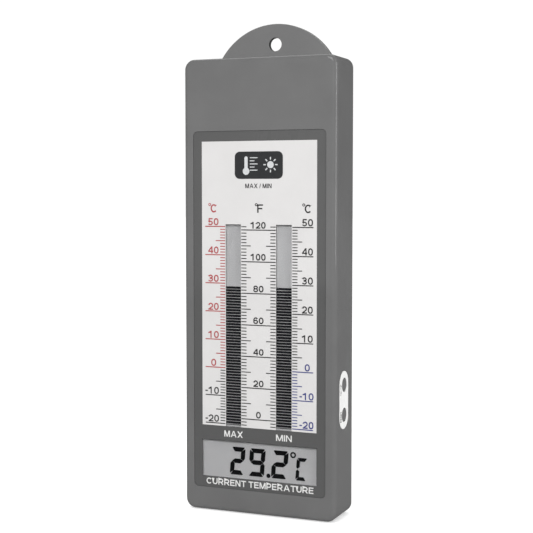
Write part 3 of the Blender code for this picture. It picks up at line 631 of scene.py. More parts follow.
def ring(cx, cy, rx, ry, s, steps=28):
    """A closed oval, a little squarer than an ellipse."""
    points = []
    for i in range(steps):
        turn = 2 * math.pi * i / steps
        a, b = math.cos(turn), math.sin(turn)
        points.append((cx + rx * math.copysign(abs(a) ** 0.9, a), cy + ry * math.copysign(abs(b) ** 0.9, b)))
    return band(points, s, True)


def bar(x0, x1, z0, z1):
    return [rectangle(x0, x1, z0, z1)]


def glyph_0(w, h, s):
    return ring(w / 2, h / 2, (w - s) / 2, (h - s) / 2, s)


def glyph_1(w, h, s):
    stem, left = 0.42 * w, -0.02 * w
    tip = [(left, 0.8 * h), (left, 0.8 * h - s * 0.95)]
    flag = [(stem + s, h), (stem + s * 0.35, h), *tip, (stem + s, h - s * 1.3)]
    return bar(stem, stem + s, 0, h) + [flag]


def glyph_2(w, h, s):
    r = (w - s) / 2
    top = bow(w / 2, h - s / 2 - r, r, r, 168, -32, 16)
    return band([*top, (s * 0.75, s * 0.75)], s) + bar(0, w, 0, s)


def glyph_3(w, h, s):
    upper, lower = (h - s) * 0.24, (h - s) * 0.26
    top = bow(w * 0.47, h - s / 2 - upper, (w - s) * 0.46, upper, 165, -90)
    foot = bow(w * 0.47, s / 2 + lower, (w - s) * 0.5, lower, 90, -165)
    level = h / 2 + (h - s) * 0.02
    return band(top, s) + band(foot, s) + bar(w * 0.3, w * 0.5, level - s / 2, level + s / 2)


def glyph_4(w, h, s):
    stem, level = 0.64 * w, 0.22 * h
    a, b = Vector((0, level + s * 0.9)), Vector((stem - s * 0.1, h))
    along = (b - a).normalized()
    shift = Vector((along.y, -along.x)) * s * 0.95
    slope = [tuple(a), tuple(b), tuple(b + shift), tuple(a + shift)]
    shoulder = [(stem - s * 0.1, h), (stem + s, h), (stem + s, h - s), (stem, h - s)]
    return bar(stem, stem + s, 0, h) + bar(0, w, level, level + s) + [slope, shoulder]


def glyph_5(w, h, s):
    r = (h * 0.64 - s) / 2
    bowl = bow(w * 0.47, s / 2 + r, (w - s) * 0.5, r, 140, -160, 18)
    side = [(0.12 * w, h), (0.12 * w + s, h), (0.05 * w + s, h * 0.42), (0.04 * w, h * 0.42)]
    return band(bowl, s) + bar(0.12 * w, 0.93 * w, h - s, h) + [side]


def glyph_6(w, h, s):
    r = (h * 0.62 - s) / 2
    back = bow(w * 0.52, h * 0.52, (w * 0.52 - s / 2), h * 0.48 - s / 2, 38, 200, 16)
    return band(back, s) + ring(w / 2, s / 2 + r, (w - s) / 2, r, s)


def glyph_8(w, h, s):
    upper, lower = (h - s) * 0.235, (h - s) * 0.265
    top = ring(w / 2, h - s / 2 - upper, (w - s) * 0.45, upper, s)
    return top + ring(w / 2, s / 2 + lower, (w - s) / 2, lower, s)


def glyph_degree(w, h, s):
    r = (w - s * 0.8) / 2
    return ring(w / 2, h - w / 2, r, r, s * 0.8, 20)


def glyph_ring(x, z, r, s):
    """A small ring about a point, such as a degree sign."""
    return ring(x, z, r - s / 2, r - s / 2, s, 20)


def glyph_A(w, h, s):
    level, half = 0.24 * h, s * 0.55
    left = [(0, 0), (s * 1.08, 0), (w / 2 + half * 0.1, h * 0.88), (w / 2 + half, h), (w / 2 - half, h)]
    right = [(w - x, z) for x, z in left]
    return [left, right] + bar(w * 0.2, w * 0.8, level, level + s * 0.95)


def glyph_C(w, h, s):
    return band(bow(w / 2, h / 2, (w - s) / 2, (h - s) / 2, 42, 318, 24), s)


def glyph_E(w, h, s):
    middle = h * 0.52
    foot_and_head = bar(0, w, 0, s) + bar(0, w, h - s, h)
    return bar(0, s, 0, h) + foot_and_head + bar(0, w * 0.93, middle - s / 2, middle + s / 2)


def glyph_F(w, h, s):
    middle = h * 0.5
    return bar(0, s, 0, h) + bar(0, w, h - s, h) + bar(0, w * 0.88, middle - s / 2, middle + s / 2)


def glyph_I(w, h, s):
    return bar(w / 2 - s / 2, w / 2 + s / 2, 0, h)


def glyph_M(w, h, s):
    left = [(0, h), (s * 1.3, h), (w / 2 + s * 0.45, 0), (w / 2 - s * 0.45, 0)]
    return bar(0, s, 0, h) + bar(w - s, w, 0, h) + [left, [(w - x, z) for x, z in left]]


def glyph_N(w, h, s):
    return bar(0, s, 0, h) + bar(w - s, w, 0, h) + [[(0, h), (s * 1.15, h), (w, 0), (w - s * 1.15, 0)]]


def glyph_P(w, h, s):
    r = h * 0.27
    bowl = [(0, h - s / 2), *bow(w - s / 2 - r, h - s / 2 - r, r, r, 90, -90), (0, h - s / 2 - 2 * r)]
    return bar(0, s, 0, h) + band(bowl, s)


def glyph_R(w, h, s):
    r = h * 0.25
    level = h - s / 2 - 2 * r
    bowl = [(0, h - s / 2), *bow(w * 0.95 - s / 2 - r, h - s / 2 - r, r, r, 90, -90), (0, level)]
    leg = [(w * 0.4, level), (w * 0.4 + s * 1.2, level + s * 0.2), (w, 0), (w - s * 1.2, 0)]
    return bar(0, s, 0, h) + band(bowl, s) + [leg]


def glyph_S(w, h, s):
    upper, lower = (h - s) * 0.245, (h - s) * 0.255
    top = bow(w * 0.5, h - s / 2 - upper, (w - s) * 0.47, upper, 20, 262, 16)
    foot = bow(w * 0.5, s / 2 + lower, (w - s) * 0.5, lower, 82, -160, 16)
    return band(top + foot, s)


def glyph_T(w, h, s):
    return bar(0, w, h - s, h) + bar(w / 2 - s / 2, w / 2 + s / 2, 0, h)


def glyph_U(w, h, s):
    r = (w - s) / 2
    return band([(s / 2, h), *bow(w / 2, s / 2 + r, r, r, 180, 360, 14), (w - s / 2, h)], s)


def glyph_X(w, h, s):
    k = s * 1.25
    return [[(0, h), (k, h), (w, 0), (w - k, 0)], [(w, h), (w - k, h), (0, 0), (k, 0)]]


def glyph_slash(w, h, s):
    return [[(0, 0), (s * 0.8, 0), (w, h), (w - s * 0.8, h)]]


# Each glyph with its width, in heights of a line.
GLYPHS = {
    "0": (glyph_0, 0.70), "1": (glyph_1, 0.70), "2": (glyph_2, 0.70), "3": (glyph_3, 0.70),
    "4": (glyph_4, 0.74), "5": (glyph_5, 0.70), "6": (glyph_6, 0.70), "8": (glyph_8, 0.70),
    "°": (glyph_degree, 0.34), "/": (glyph_slash, 0.4), " ": (None, 0.16),
    "A": (glyph_A, 0.98), "C": (glyph_C, 0.88), "E": (glyph_E, 0.72), "F": (glyph_F, 0.68),
    "I": (glyph_I, 0.2), "M": (glyph_M, 0.96), "N": (glyph_N, 0.80), "P": (glyph_P, 0.76),
    "R": (glyph_R, 0.84), "S": (glyph_S, 0.78), "T": (glyph_T, 0.78), "U": (glyph_U, 0.80),
    "X": (glyph_X, 0.92),
}
LETTER_GAP = 0.13


def join_shapes(shapes):
    """One flat triangulation of overlapping outlines. Returns its points, triangles and rim edges."""
    points, faces = [], []
    for shape in shapes:
        turns = sum(a[0] * b[1] - b[0] * a[1] for a, b in zip(shape, [*shape[1:], shape[0]]))
        shape = shape if turns > 0 else shape[::-1]
        faces.append(list(range(len(points), len(points) + len(shape))))
        points += [Vector(p) for p in shape]
    verts, _, triangles, _, _, sources = delaunay_2d_cdt(points, [], faces, 1, 1e-5)
    triangles = [triangle for triangle, source in zip(triangles, sources) if source]
    seen = {}
    for triangle in triangles:
        for a, b in zip(triangle, (*triangle[1:], triangle[0])):
            key = (min(a, b), max(a, b))
            seen[key] = seen.get(key, 0) + 1
    rim = {key for key, count in seen.items() if count == 1}
    return verts, triangles, rim


def add_flat_solid(bm, shapes, to_front, to_back):
    """Closes overlapping outlines into one thin solid. The two functions place its front and its back."""
    verts, triangles, rim = join_shapes(shapes)
    front = [bm.verts.new(to_front(v)) for v in verts]
    back = [bm.verts.new(to_back(v)) for v in verts]
    faces = []
    for triangle in triangles:
        faces.append(bm.faces.new([front[i] for i in triangle]))
        faces.append(bm.faces.new([back[i] for i in reversed(triangle)]))
        for a, b in zip(triangle, (*triangle[1:], triangle[0])):
            if (min(a, b), max(a, b)) in rim:
                faces.append(bm.faces.new((front[b], front[a], back[a], back[b])))
    bmesh.ops.recalc_face_normals(bm, faces=faces)


def word_shapes(words, left, right, low, high, stroke):
    """The outlines of words set between two sides and two heights."""
    h = high - low
    widths = [GLYPHS[letter][1] for letter in words]
    room = right - left - LETTER_GAP * h * (len(words) - 1)
    scale = room / sum(widths)
    shapes, x = [], left
    for letter, width in zip(words, widths):
        draw, w = GLYPHS[letter][0], width * scale
        if draw:
            shapes += [[(x + a, low + b) for a, b in shape] for shape in draw(w, h, stroke)]
        x += w + LETTER_GAP * h
    return shapes


def add_face_words(bm, words, left, right, low, high, stroke):
    """Words printed on the sheets of the face."""
    add_printed(bm, word_shapes(words, left, right, low, high, stroke))


def add_printed(bm, shapes, y=None):
    """Flat shapes printed on the sheets of the face, or lying with their fronts at y."""
    top = SHEET_Y[0] - PRINT_PROUD if y is None else y
    shift = PRINT_SHIFT if y is None else 0.0
    add_flat_solid(
        bm, shapes,
        lambda v: Vector((v.x + shift, top, v.y)) * MM, lambda v: Vector((v.x + shift, top + INK, v.y)) * MM,
    )


def add_side_words(bm, words, back, front, low, high, stroke):
    """Words printed up the label on the side, their heads towards the front."""
    out = LABEL_X[1] + PRINT_PROUD
    add_flat_solid(
        bm, word_shapes(words, low, high, 0.0, back - front, stroke),
        lambda v: Vector((out, back - v.y, v.x)) * MM, lambda v: Vector((out - INK, back - v.y, v.x)) * MM,
    )


def add_ink(bm, outline):
    """A flat shape of ink on the printed sheets."""
    outline = [(x + PRINT_SHIFT, z) for x, z in outline]
    add_prism(bm, outline, SHEET_Y[0] - PRINT_PROUD, SHEET_Y[0] - PRINT_PROUD + INK)


def add_tick(bm, x0, x1, z, thick):
    add_ink(bm, rectangle(min(x0, x1), max(x0, x1), z - thick / 2, z + thick / 2))


def ink_piece(name, bm, material):
    item = new_object(name, bm)
    return place(item, material, "case")


# ---------------------------------------------------------------- properties


class THERMO_PG_case(bpy.types.PropertyGroup):
    color: FloatVectorProperty(
        name="Case Colour", description="Colour of the case, cover and buttons", subtype="COLOR", size=3,
        min=0.0, max=1.0, default=(0.152, 0.152, 0.152),
    )
    gloss: FloatProperty(
        name="Case Roughness", description="How matt the moulded plastic is", subtype="FACTOR",
        min=0.0, max=1.0, default=0.5,
    )
    fillet_steps: IntProperty(
        name="Fillet Steps", description="How many faces round the edge of the face",
        min=3, max=24, default=10,
    )


class THERMO_PG_print(bpy.types.PropertyGroup):
    surround: FloatVectorProperty(
        name="Surround", description="Dark ground of the printed sheet", subtype="COLOR", size=3,
        min=0.0, max=1.0, default=(0.102, 0.102, 0.102),
    )
    ground: FloatVectorProperty(
        name="Scale Ground", description="White of the scale plate and the label", subtype="COLOR", size=3,
        min=0.0, max=1.0, default=(0.7, 0.69, 0.685),
    )
    black: FloatVectorProperty(
        name="Black Ink", description="Ink of the Fahrenheit scale", subtype="COLOR", size=3,
        min=0.0, max=1.0, default=(0.02, 0.02, 0.02),
    )
    red: FloatVectorProperty(
        name="Red Ink", description="Ink of the maximum scale above zero", subtype="COLOR", size=3,
        min=0.0, max=1.0, default=(0.43, 0.07, 0.075),
    )
    blue: FloatVectorProperty(
        name="Blue Ink", description="Ink of the minimum scale at zero and below", subtype="COLOR", size=3,
        min=0.0, max=1.0, default=(0.035, 0.045, 0.22),
    )
    tick: FloatProperty(
        name="Tick Width", description="Thickness of a tick, in millimetres", min=0.1, max=1.0, default=0.44,
    )


class THERMO_PG_display(bpy.types.PropertyGroup):
    reading: StringProperty(name="Reading", description="Digits shown, with one point", default="29.2")
    background: FloatVectorProperty(
        name="Background", description="Colour of the unlit cell", subtype="COLOR", size=3,
        min=0.0, max=1.0, default=(0.68, 0.67, 0.68),
    )
    segment: FloatVectorProperty(
        name="Segment", description="Colour of a lit segment", subtype="COLOR", size=3,
        min=0.0, max=1.0, default=(0.004, 0.004, 0.005),
    )
    slant: FloatProperty(
        name="Slant", description="Lean of the digits", subtype="ANGLE", default=math.radians(4.5),
    )


class THERMO_PG_stage(bpy.types.PropertyGroup):
    sky: FloatProperty(
        name="Sky", description="Strength of the white surroundings as a light", min=0.0, default=0.72,
    )
    key: FloatProperty(
        name="Key Lamp", description="Power of the main soft lamp", unit="POWER", min=0.0, default=11.0,
    )
    fill: FloatProperty(
        name="Side Lamp", description="Power of the lamp at the right", unit="POWER", min=0.0, default=3.5,
    )
    top: FloatProperty(
        name="Top Lamp", description="Power of the lamp over the back edge", unit="POWER", min=0.0,
        default=1.0,
    )
    lens: FloatProperty(name="Lens", description="Focal length of the camera", min=1.0, default=82.93)
    turn: FloatProperty(
        name="Turn", description="Turn of the camera about the upright", subtype="ANGLE",
        default=math.radians(22.642),
    )
    tilt: FloatProperty(
        name="Tilt", description="Downward tilt of the camera", subtype="ANGLE", default=math.radians(3.544),
    )


# ---------------------------------------------------------------- case


def case_material():
    look = bpy.context.scene.thermo_case
    return shared("case_plastic", moulded_plastic, tuple(look.color), look.gloss, skin=0.75)


def filleted_rings(half_w, half_h, r, front, back, steps):
    """Outlines of the case from its face, round the fillet, back to the chamfer at its rear edge."""
    rings = []
    for i in range(steps + 1):
        turn = math.pi / 2 * i / steps
        inset, depth = FACE_FILLET * (1 - math.sin(turn)), FACE_FILLET * (1 - math.cos(turn))
        outline = rounded(inset - half_w, half_w - inset, inset - half_h, half_h - inset, r - inset, 12)
        rings.append((outline, front + depth))
    rings.append((rounded(-half_w, half_w, -half_h, half_h, r, 12), back - SEAM_CHAMFER))
    c = SEAM_CHAMFER
    rings.append((rounded(c - half_w, half_w - c, c - half_h, half_h - c, r - c, 12), back))
    return rings


def recess_rings():
    """Outlines of the recess cutter, flared at the face so that its rim has a small chamfer."""
    flare = 0.15
    rings = []
    for grow, at in ((flare + 1.0, FRONT - 1.0), (flare, FRONT), (0.0, FRONT + flare), (0.0, RECESS_FLOOR)):
        w, low, high = SHEET_X[1] + GAP + grow, SHEET_Z[0] - GAP - grow, SHEET_Z[1] + GAP + grow
        rings.append((rounded(PRINT_SHIFT - w, PRINT_SHIFT + w, low, high, RECESS_R + grow, 8), at))
    return rings


def label_seat_rings():
    """Outlines of the cutter for the label's seat in the side, flared like the recess."""
    flare, deep = 0.2, LABEL_X[0] - GAP
    middle = sum(LABEL_Z) / 2
    width, height = LABEL_Y[1] - LABEL_Y[0] + 2 * GAP, LABEL_Z[1] - LABEL_Z[0] + 2 * GAP
    rings = []
    for grow, at in ((0.0, deep), (0.0, HALF_W - flare), (flare, HALF_W), (flare + 1.0, HALF_W + 1.0)):
        rings.append((stadium(BUTTON_Y, middle, width + 2 * grow, height + 2 * grow), at))
    return rings


def screw_spots():
    """Middle of each case screw, as (x, z)."""
    return [(sum(span(name, X)) / 2, sum(span(name, Z)) / 2) for name in CASE_SCREWS]


class THERMO_OT_front_case(bpy.types.Operator):
    """Builds the moulded front case with its fillets, recess, windows, bosses and button holes"""

    bl_idname = "thermo.front_case"
    bl_label = "Front Case"

    def execute(self, context):
        look = context.scene.thermo_case
        bm = bmesh.new()
        add_loft(bm, filleted_rings(HALF_W, HALF_H, CORNER_R, FRONT, 0.0, look.fillet_steps))
        shell = new_object("case_shell", bm)

        hollow = bmesh.new()
        w, h = HALF_W - WALL, HALF_H - WALL
        add_prism(hollow, rounded(-w, w, -h, h, CORNER_R - WALL), FACE_INNER, BEYOND)
        combine(shell, hollow, "DIFFERENCE")

        bosses = bmesh.new()
        for x, z in screw_spots():
            add_prism(bosses, circle(x, z, BOSS_R, 32), FACE_INNER - 1.0, BOSS_TOP)
        combine(shell, bosses, "UNION")
        pilots = bmesh.new()
        for x, z in screw_spots():
            add_prism(pilots, circle(x, z, PILOT_R, 24), PILOT_END, BEYOND)
        combine(shell, pilots, "DIFFERENCE")

        recess = bmesh.new()
        add_loft(recess, recess_rings())
        combine(shell, recess, "DIFFERENCE")
        aperture = bmesh.new()
        low, high = GLASS_Z[0] - GAP, GLASS_Z[1] + GAP
        add_box(aperture, (GLASS_X[0] - GAP, GLASS_X[1] + GAP), (FRONT - 1.0, FACE_INNER + 1.0), (low, high))
        combine(shell, aperture, "DIFFERENCE")

        notch = bmesh.new()
        add_prism(notch, circle(0, TAB_Z, TAB_R + GAP, 180), -COVER_T - GAP, BEYOND)
        combine(shell, notch, "DIFFERENCE")
        seat = bmesh.new()
        add_loft(seat, label_seat_rings(), "X")
        combine(shell, seat, "DIFFERENCE")
        holes = bmesh.new()
        for low, high in SIDE_BUTTONS.values():
            add_prism(holes, circle(BUTTON_Y, (low + high) / 2, BUTTON_R + GAP), *BUTTON_HOLE_X, "X")
        combine(shell, holes, "DIFFERENCE")
        place(shell, case_material(), "case", ("front_case",))
        return {"FINISHED"}


def weathered_plastic(name, color, gloss):
    """The cover's plastic on the front of its tab, with painted light: paler towards the case top, to cancel
    the shade that falls at the tab's foot.
    """
    material = moulded_plastic(name, color, gloss, skin=0.75)
    tree = material.node_tree
    shade = tree.nodes["Principled BSDF"].inputs["Base Color"]
    plain = shade.links[0].from_socket
    place_of = node(tree, "TexCoord", (-1150, 500))
    split = node(tree, "SeparateXYZ", (-950, 500))
    height = node(tree, "MapRange", (-750, 500), values={1: 0.1295, 2: 0.1125, 3: 0.0, 4: 1.0})
    curve = node(tree, "Math", (-550, 500), operation="POWER", values={1: 2.0})
    # Painted light: the colour is scaled up to 1.39 times at the case's top edge, easing to 1.03 higher up
    # the tab.
    lift = node(tree, "Math", (-350, 500), operation="MULTIPLY_ADD", values={1: 0.36, 2: 1.03})
    paler = node(tree, "VectorMath", (-150, 400), operation="SCALE")
    tree.links.new(place_of.outputs["Object"], split.inputs[0])
    tree.links.new(split.outputs["Z"], height.inputs[0])
    tree.links.new(height.outputs[0], curve.inputs[0])
    tree.links.new(curve.outputs[0], lift.inputs[0])
    tree.links.new(plain, paler.inputs["Vector"])
    tree.links.new(lift.outputs[0], paler.inputs["Scale"])
    tree.links.new(paler.outputs["Vector"], shade)
    return material


def finish_tab(cover, color, gloss):
    """Painted shade, a near-black plastic, on the wall of the hanging hole, and painted light on the tab's
    front.
    """
    # Painted shade: the hole's wall gets near-black plastic in place of the shadow inside the hole.
    cover.data.materials.append(shared("hole_wall_painted_shade", moulded_plastic, (0.045, 0.045, 0.045), 0.6))
    cover.data.materials.append(shared("tab_plastic_painted_light", weathered_plastic, color, gloss))
    for face in cover.data.polygons:
        x, y, z = face.center / MM
        top = max(cover.data.vertices[i].co.z for i in face.vertices) / MM
        # Painted shade on the hole's wall; painted light on the front faces of the tab.
        if math.hypot(x, z - HANG_Z) < HANG_R + 0.05 and -COVER_T < y < 0:
            face.material_index = 1
        elif top > HANG_Z and face.normal.y < -0.99:
            face.material_index = 2


class THERMO_OT_rear_cover(bpy.types.Operator):
    """Builds the rear cover with its hanging tab, battery bay, screw wells and vents"""

    bl_idname = "thermo.rear_cover"
    bl_label = "Rear Cover"

    def execute(self, context):
        ease = 0.35
        rings = ((cover_outline(ease), -COVER_T), (cover_outline(ease * 0.3), -COVER_T + ease * 0.3))
        rings += ((cover_outline(0), -COVER_T + ease), (cover_outline(0), -ease))
        rings += ((cover_outline(ease * 0.3), -ease * 0.3), (cover_outline(ease), 0.0))
        bm = bmesh.new()
        add_loft(bm, rings)
        cover = new_object("back_cover", bm)

        cups = bmesh.new()
        for x, z in screw_spots():
            add_prism(cups, circle(x, z, CUP_R + CUP_WALL, 40), CUP_DEPTH, INTO_COVER)
        combine(cover, cups, "UNION")
        ledge = bmesh.new()
        add_box(ledge, (-LEDGE_HALF_W, LEDGE_HALF_W), (LEDGE_Y[0], INTO_COVER), LEDGE_Z)
        combine(cover, ledge, "UNION")
        well = bmesh.new()
        add_box(well, (-WELL_HALF_W, WELL_HALF_W), (WELL_DEPTH, INTO_COVER), WELL_Z)
        combine(cover, well, "UNION")

        opening = bmesh.new()
        w, low, high = LID_HALF_W + GAP, LID_FOOT - GAP, LID_HEAD + GAP
        edge = 0.25
        rings = [(rounded(-w - g, w + g, low - g, high + g, 1.2 + g, 6), y)
                 for g, y in ((0, LEDGE_Y[1]), (0, -edge), (edge, 0.0), (edge + 1.0, 1.0))]
        add_loft(opening, rings)
        combine(cover, opening, "DIFFERENCE")
        slots = bmesh.new()
        for side in (-1, 1):
            x = sorted((side * WELL_HALF_W, side * w))
            add_box(slots, x, (-9.0, 6.0), (low, LEDGE_Z[0]))
        combine(cover, slots, "DIFFERENCE")
        pocket = bmesh.new()
        add_box(pocket, (-POCKET_HALF_W, POCKET_HALF_W), POCKET_Y, POCKET_Z)
        combine(cover, pocket, "DIFFERENCE")

        holes = bmesh.new()
        bore = ((CUP_HOLE_R, CUP_DEPTH - 2.0), (CUP_HOLE_R, CUP_FLOOR), (CUP_R, CUP_FLOOR))
        mouth = ((CUP_R, -0.3), (CUP_R + CUP_FLARE, 1.0))
        for x, z in screw_spots():
            add_turned(holes, bore + mouth, (x, 0, z), "Y", 40)
        rim = 0.1
        inside = ((rim + 1.0, -COVER_T - 1.0), (rim, -COVER_T), (0, -COVER_T + rim))
        outside = ((0, -rim), (rim, 0), (rim + 1.0, 1.0))
        add_loft(holes, [(circle(0, HANG_Z, HANG_R + grow, 64), y) for grow, y in inside + outside])
        for x in range(-10, 11, 5):
            vent = rounded(x - VENT_HALF_W, x + VENT_HALF_W, *VENT_Z, VENT_R, 6)
            add_prism(holes, vent, -BEYOND, BEYOND)
        combine(cover, holes, "DIFFERENCE")
        look = context.scene.thermo_case
        paler = tuple(c * COVER_TINT for c in look.color)
        plastic = shared("cover_plastic", moulded_plastic, paler, look.gloss, skin=0.75)
        place(cover, plastic, "case", ("rear_cover",))
        # Painted shade in the hanging hole and painted light on the tab's front.
        finish_tab(cover, paler, look.gloss)
        return {"FINISHED"}


class THERMO_OT_battery_lid(bpy.types.Operator):
    """Builds the battery lid with its hooks, grip ridges and a plain arrow"""

    bl_idname = "thermo.battery_lid"
    bl_label = "Battery Lid"

    def execute(self, context):
        ease, foot, head = 0.25, LID_FOOT, LID_HEAD
        under, over = LID_Y_SPAN
        rings = [(rounded(-LID_HALF_W + g, LID_HALF_W - g, foot + g, head - g, 1.0 - g, 6), y)
                 for g, y in ((ease, under), (0, under + ease), (0, over - ease), (ease, over))]
        bm = bmesh.new()
        add_loft(bm, rings)
        lid = new_object("battery_lid", bm)
        hooks = bmesh.new()
        root = ((-1.0, foot + 0.3), (-1.0, foot + 1.2), (-3.7, foot + 1.2), (-4.0, foot + 0.9))
        toe = (
            (-4.0, foot - 1.7), (-3.7, foot - 2.0), (-3.2, foot - 2.0),
            (-2.9, foot - 1.7), (-2.9, foot + 0.3),
        )
        for side in (-1, 1):
            add_prism(hooks, root + toe, side * HOOK_X - HOOK_HALF_W, side * HOOK_X + HOOK_HALF_W, "X")
        combine(lid, hooks, "UNION")
        cuts = bmesh.new()
        grooves, pitch, groove_half_w = 6, 1.5, 6.0
        for i in range(grooves):
            z = head - 2.6 - pitch * i
            floor, mouth = over - 0.5, over + 0.4
            vee = ((floor, z - 0.25), (mouth, z - 0.7), (mouth, z + 0.7), (floor, z + 0.25))
            add_prism(cuts, vee, -groove_half_w, groove_half_w, "X")
        tip = head - 15.5
        shoulder, tail = tip - 4.0, tip - 9.0
        left_side = ((-3.0, shoulder), (-1.1, shoulder), (-1.1, tail))
        right_side = ((1.1, tail), (1.1, shoulder), (3.0, shoulder))
        arrow = ((0.0, tip), *left_side, *right_side)
        add_prism(cuts, arrow, over - 0.35, 2.0)
        combine(lid, cuts, "DIFFERENCE")
        place(lid, case_material(), "lid", ("battery_door",))
        return {"FINISHED"}


class THERMO_OT_screws(bpy.types.Operator):
    """Builds the six case screws with domed heads, cross recesses and threads"""

    bl_idname = "thermo.screws"
    bl_label = "Case Screws"

    def execute(self, context):
        steel = shared("zinc_steel", plated_metal, (0.62, 0.62, 0.6), 0.32, (1.0, 1.0, 1.0))
        core, crest, shank = 0.85, 1.24, 1.2
        start, seat, turns, pitch = -14.6, -4.3, 9, 1.0
        for name, (x, z) in zip(CASE_SCREWS, screw_spots()):
            head = fillet(1.0, 0, 80, (SCREW_HEAD_R - 1.0, -3.3), 6)
            profile = [(0.35, -15.4), (core, start)]
            for i in range(turns):
                rise = start + pitch * i
                profile += [(core, rise + 0.35), (crest, rise + 0.5), (core, rise + 0.65)]
            profile += [(shank, -5.0), (shank, seat), (SCREW_HEAD_R, seat), *head]
            bm = bmesh.new()
            add_turned(bm, profile, (x, 0, z), "Y", 40)
            screw = new_object(f"{name}_finished", bm)
            cross = bmesh.new()
            arm, half, top = 1.55, 0.36, head[-1][1]
            wide = [(half, half), (arm, half), (arm, -half), (half, -half), (half, -arm), (-half, -arm)]
            wide += [(-half, -half), (-arm, -half), (-arm, half), (-half, half), (-half, arm), (half, arm)]
            deep = [(a * 0.6, b * 0.6) for a, b in wide]
            rings = [([(x + a, z + b) for a, b in outline], y)
                     for outline, y in ((deep, top - 1.1), (wide, top - 0.1), (wide, top + 1.0))]
            add_loft(cross, rings)
            combine(screw, cross, "DIFFERENCE")
            place(screw, steel, "case", (name,))
        return {"FINISHED"}


# ---------------------------------------------------------------- face


def sheet_rings(outline_of, low, high, ease):
    """A thin sheet whose front edge is eased. outline_of draws its outline, drawn in by an amount."""
    return ((outline_of(ease), low), (outline_of(0.0), low + ease), (outline_of(0.0), high))


class THERMO_OT_printed_sheets(bpy.types.Operator):
    """Builds the dark surround and the white scale plate, with their windows"""

    bl_idname = "thermo.printed_sheets"
    bl_label = "Printed Sheets"

    def execute(self, context):
        look = context.scene.thermo_print
        low, high = SHEET_Y
        bm = bmesh.new()

        def surround_outline(inset):
            grow = SNUG - inset
            half_w = SHEET_X[1] + grow
            left, right = PRINT_SHIFT - half_w, PRINT_SHIFT + half_w
            return rounded(left, right, SHEET_Z[0] - grow, SHEET_Z[1] + grow, SHEET_R + grow, 8)

        add_loft(bm, sheet_rings(surround_outline, low, high, 0.08))
        surround = new_object("surround_sheet", bm)
        cuts = bmesh.new()
        seam = 0.02
        left, right = PLATE_X[0] + PRINT_SHIFT, PLATE_X[1] + PRINT_SHIFT
        panel = rectangle(left - seam, right + seam, PLATE_Z[0] - seam, PLATE_Z[1] + seam)
        add_prism(cuts, panel, low - 1.0, high + 1.0)
        window = rounded(PRINT_SHIFT - DIGITS_X, PRINT_SHIFT + DIGITS_X, *DIGITS_Z, WINDOW_R, 4)
        add_prism(cuts, window, low - 1.0, high + 1.0)
        combine(surround, cuts, "DIFFERENCE")
        dark = shared("surround_print", printed_sheet, tuple(look.surround), 0.24)
        place(surround, dark, "case", ("face_overlay",))

        bm = bmesh.new()
        add_prism(bm, rectangle(left, right, *PLATE_Z), low, high)
        plate = new_object("scale_sheet", bm)
        cuts = bmesh.new()
        for left, right in BAR_WINDOWS.values():
            add_box(cuts, (left, right), (low - 1.0, high + 1.0), (PLATE_Z[0] - 1.0, BAR_TOP))
        combine(plate, cuts, "DIFFERENCE")
        white = shared("scale_white", printed_sheet, tuple(look.ground), 0.3)
        place(plate, white, "case", ("scale_plate",))
        return {"FINISHED"}


# Sides of the two-figure Celsius numbers left and right of the bars, and what other numbers change.
TEN_LABEL = {"L": (-26.85, -21.25), "R": (22.7, 28.2)}
ONE_FIGURE_INSET = 1.45
MINUS_SHIFT = 0.5  # the right-hand numbers below zero stand a little further out
MINUS_SIGN = (1.75, 0.45)  # how far its ends lie before the first figure
CELSIUS_REACH = {1: 20.35, 5: 22.75, 10: 28.45}  # where ticks of each step end, from the middle
FAHRENHEIT_REACH = {2: 6.3, 10: 4.05}
FAHRENHEIT_LABEL_W, FAHRENHEIT_LABEL_H = {3: 7.9, 2: 5.4, 1: 2.5}, 3.25
THREE_FIGURE_SHIFT = -0.15
LONG_TICK = 1.1  # how much thicker the numbered ticks are
NUMBER_H, NUMBER_LIFT, FAHRENHEIT_LIFT = 3.5, 0.55, 0.7
NUMBER_STROKE, LEGEND_STROKE, UNIT_STROKE = 0.6, 0.56, 0.68
UNITS, UNIT_Z = (("C", -25.5, -22.0), ("F", -0.6, 2.45), ("C", 24.0, 27.5)), (36.7, 40.8)
UNIT_RING = (-0.5, 40.6, 0.72, 0.38)  # the degree sign: place from the letter, height, radius and stroke
BAR_LEGENDS, BAR_LEGEND_Z = (("MAX", -18.35, -8.35), ("MIN", 9.3, 17.5)), (-74.05, -70.95)
CAPTION, CAPTION_Z = ("CURRENT TEMPERATURE", -28.15, 28.75), (-98.45, -95.35)


def add_celsius_side(side, pick):
    """Ticks and numbers of one Celsius scale. pick gives the ink's mesh for a temperature."""
    inner = side * (BAR_X + BAR_HALF + 0.2)
    left, right = TEN_LABEL["L" if side < 0 else "R"]
    tick = bpy.context.scene.thermo_print.tick
    for celsius in range(LOWEST_DEGREE, TOP_DEGREE + 1):
        z, bm = height_of(celsius), pick(celsius)
        step = 10 if celsius % 10 == 0 else 5 if celsius % 5 == 0 else 1
        add_tick(bm, inner, side * CELSIUS_REACH[step], z, tick * (LONG_TICK if step == 10 else 1.0))
        if step == 10:
            words = str(abs(celsius))
            start = left if len(words) == 2 else left + ONE_FIGURE_INSET
            end = right if len(words) == 2 else right - ONE_FIGURE_INSET
            if celsius < 0 and side > 0:
                start, end = start + MINUS_SHIFT, end + MINUS_SHIFT
            base = z + NUMBER_LIFT
            add_face_words(bm, words, start, end, base, base + NUMBER_H, NUMBER_STROKE)
            if celsius < 0:
                level = base + NUMBER_H * 0.42
                add_tick(bm, start - MINUS_SIGN[0], start - MINUS_SIGN[1], level, NUMBER_STROKE)


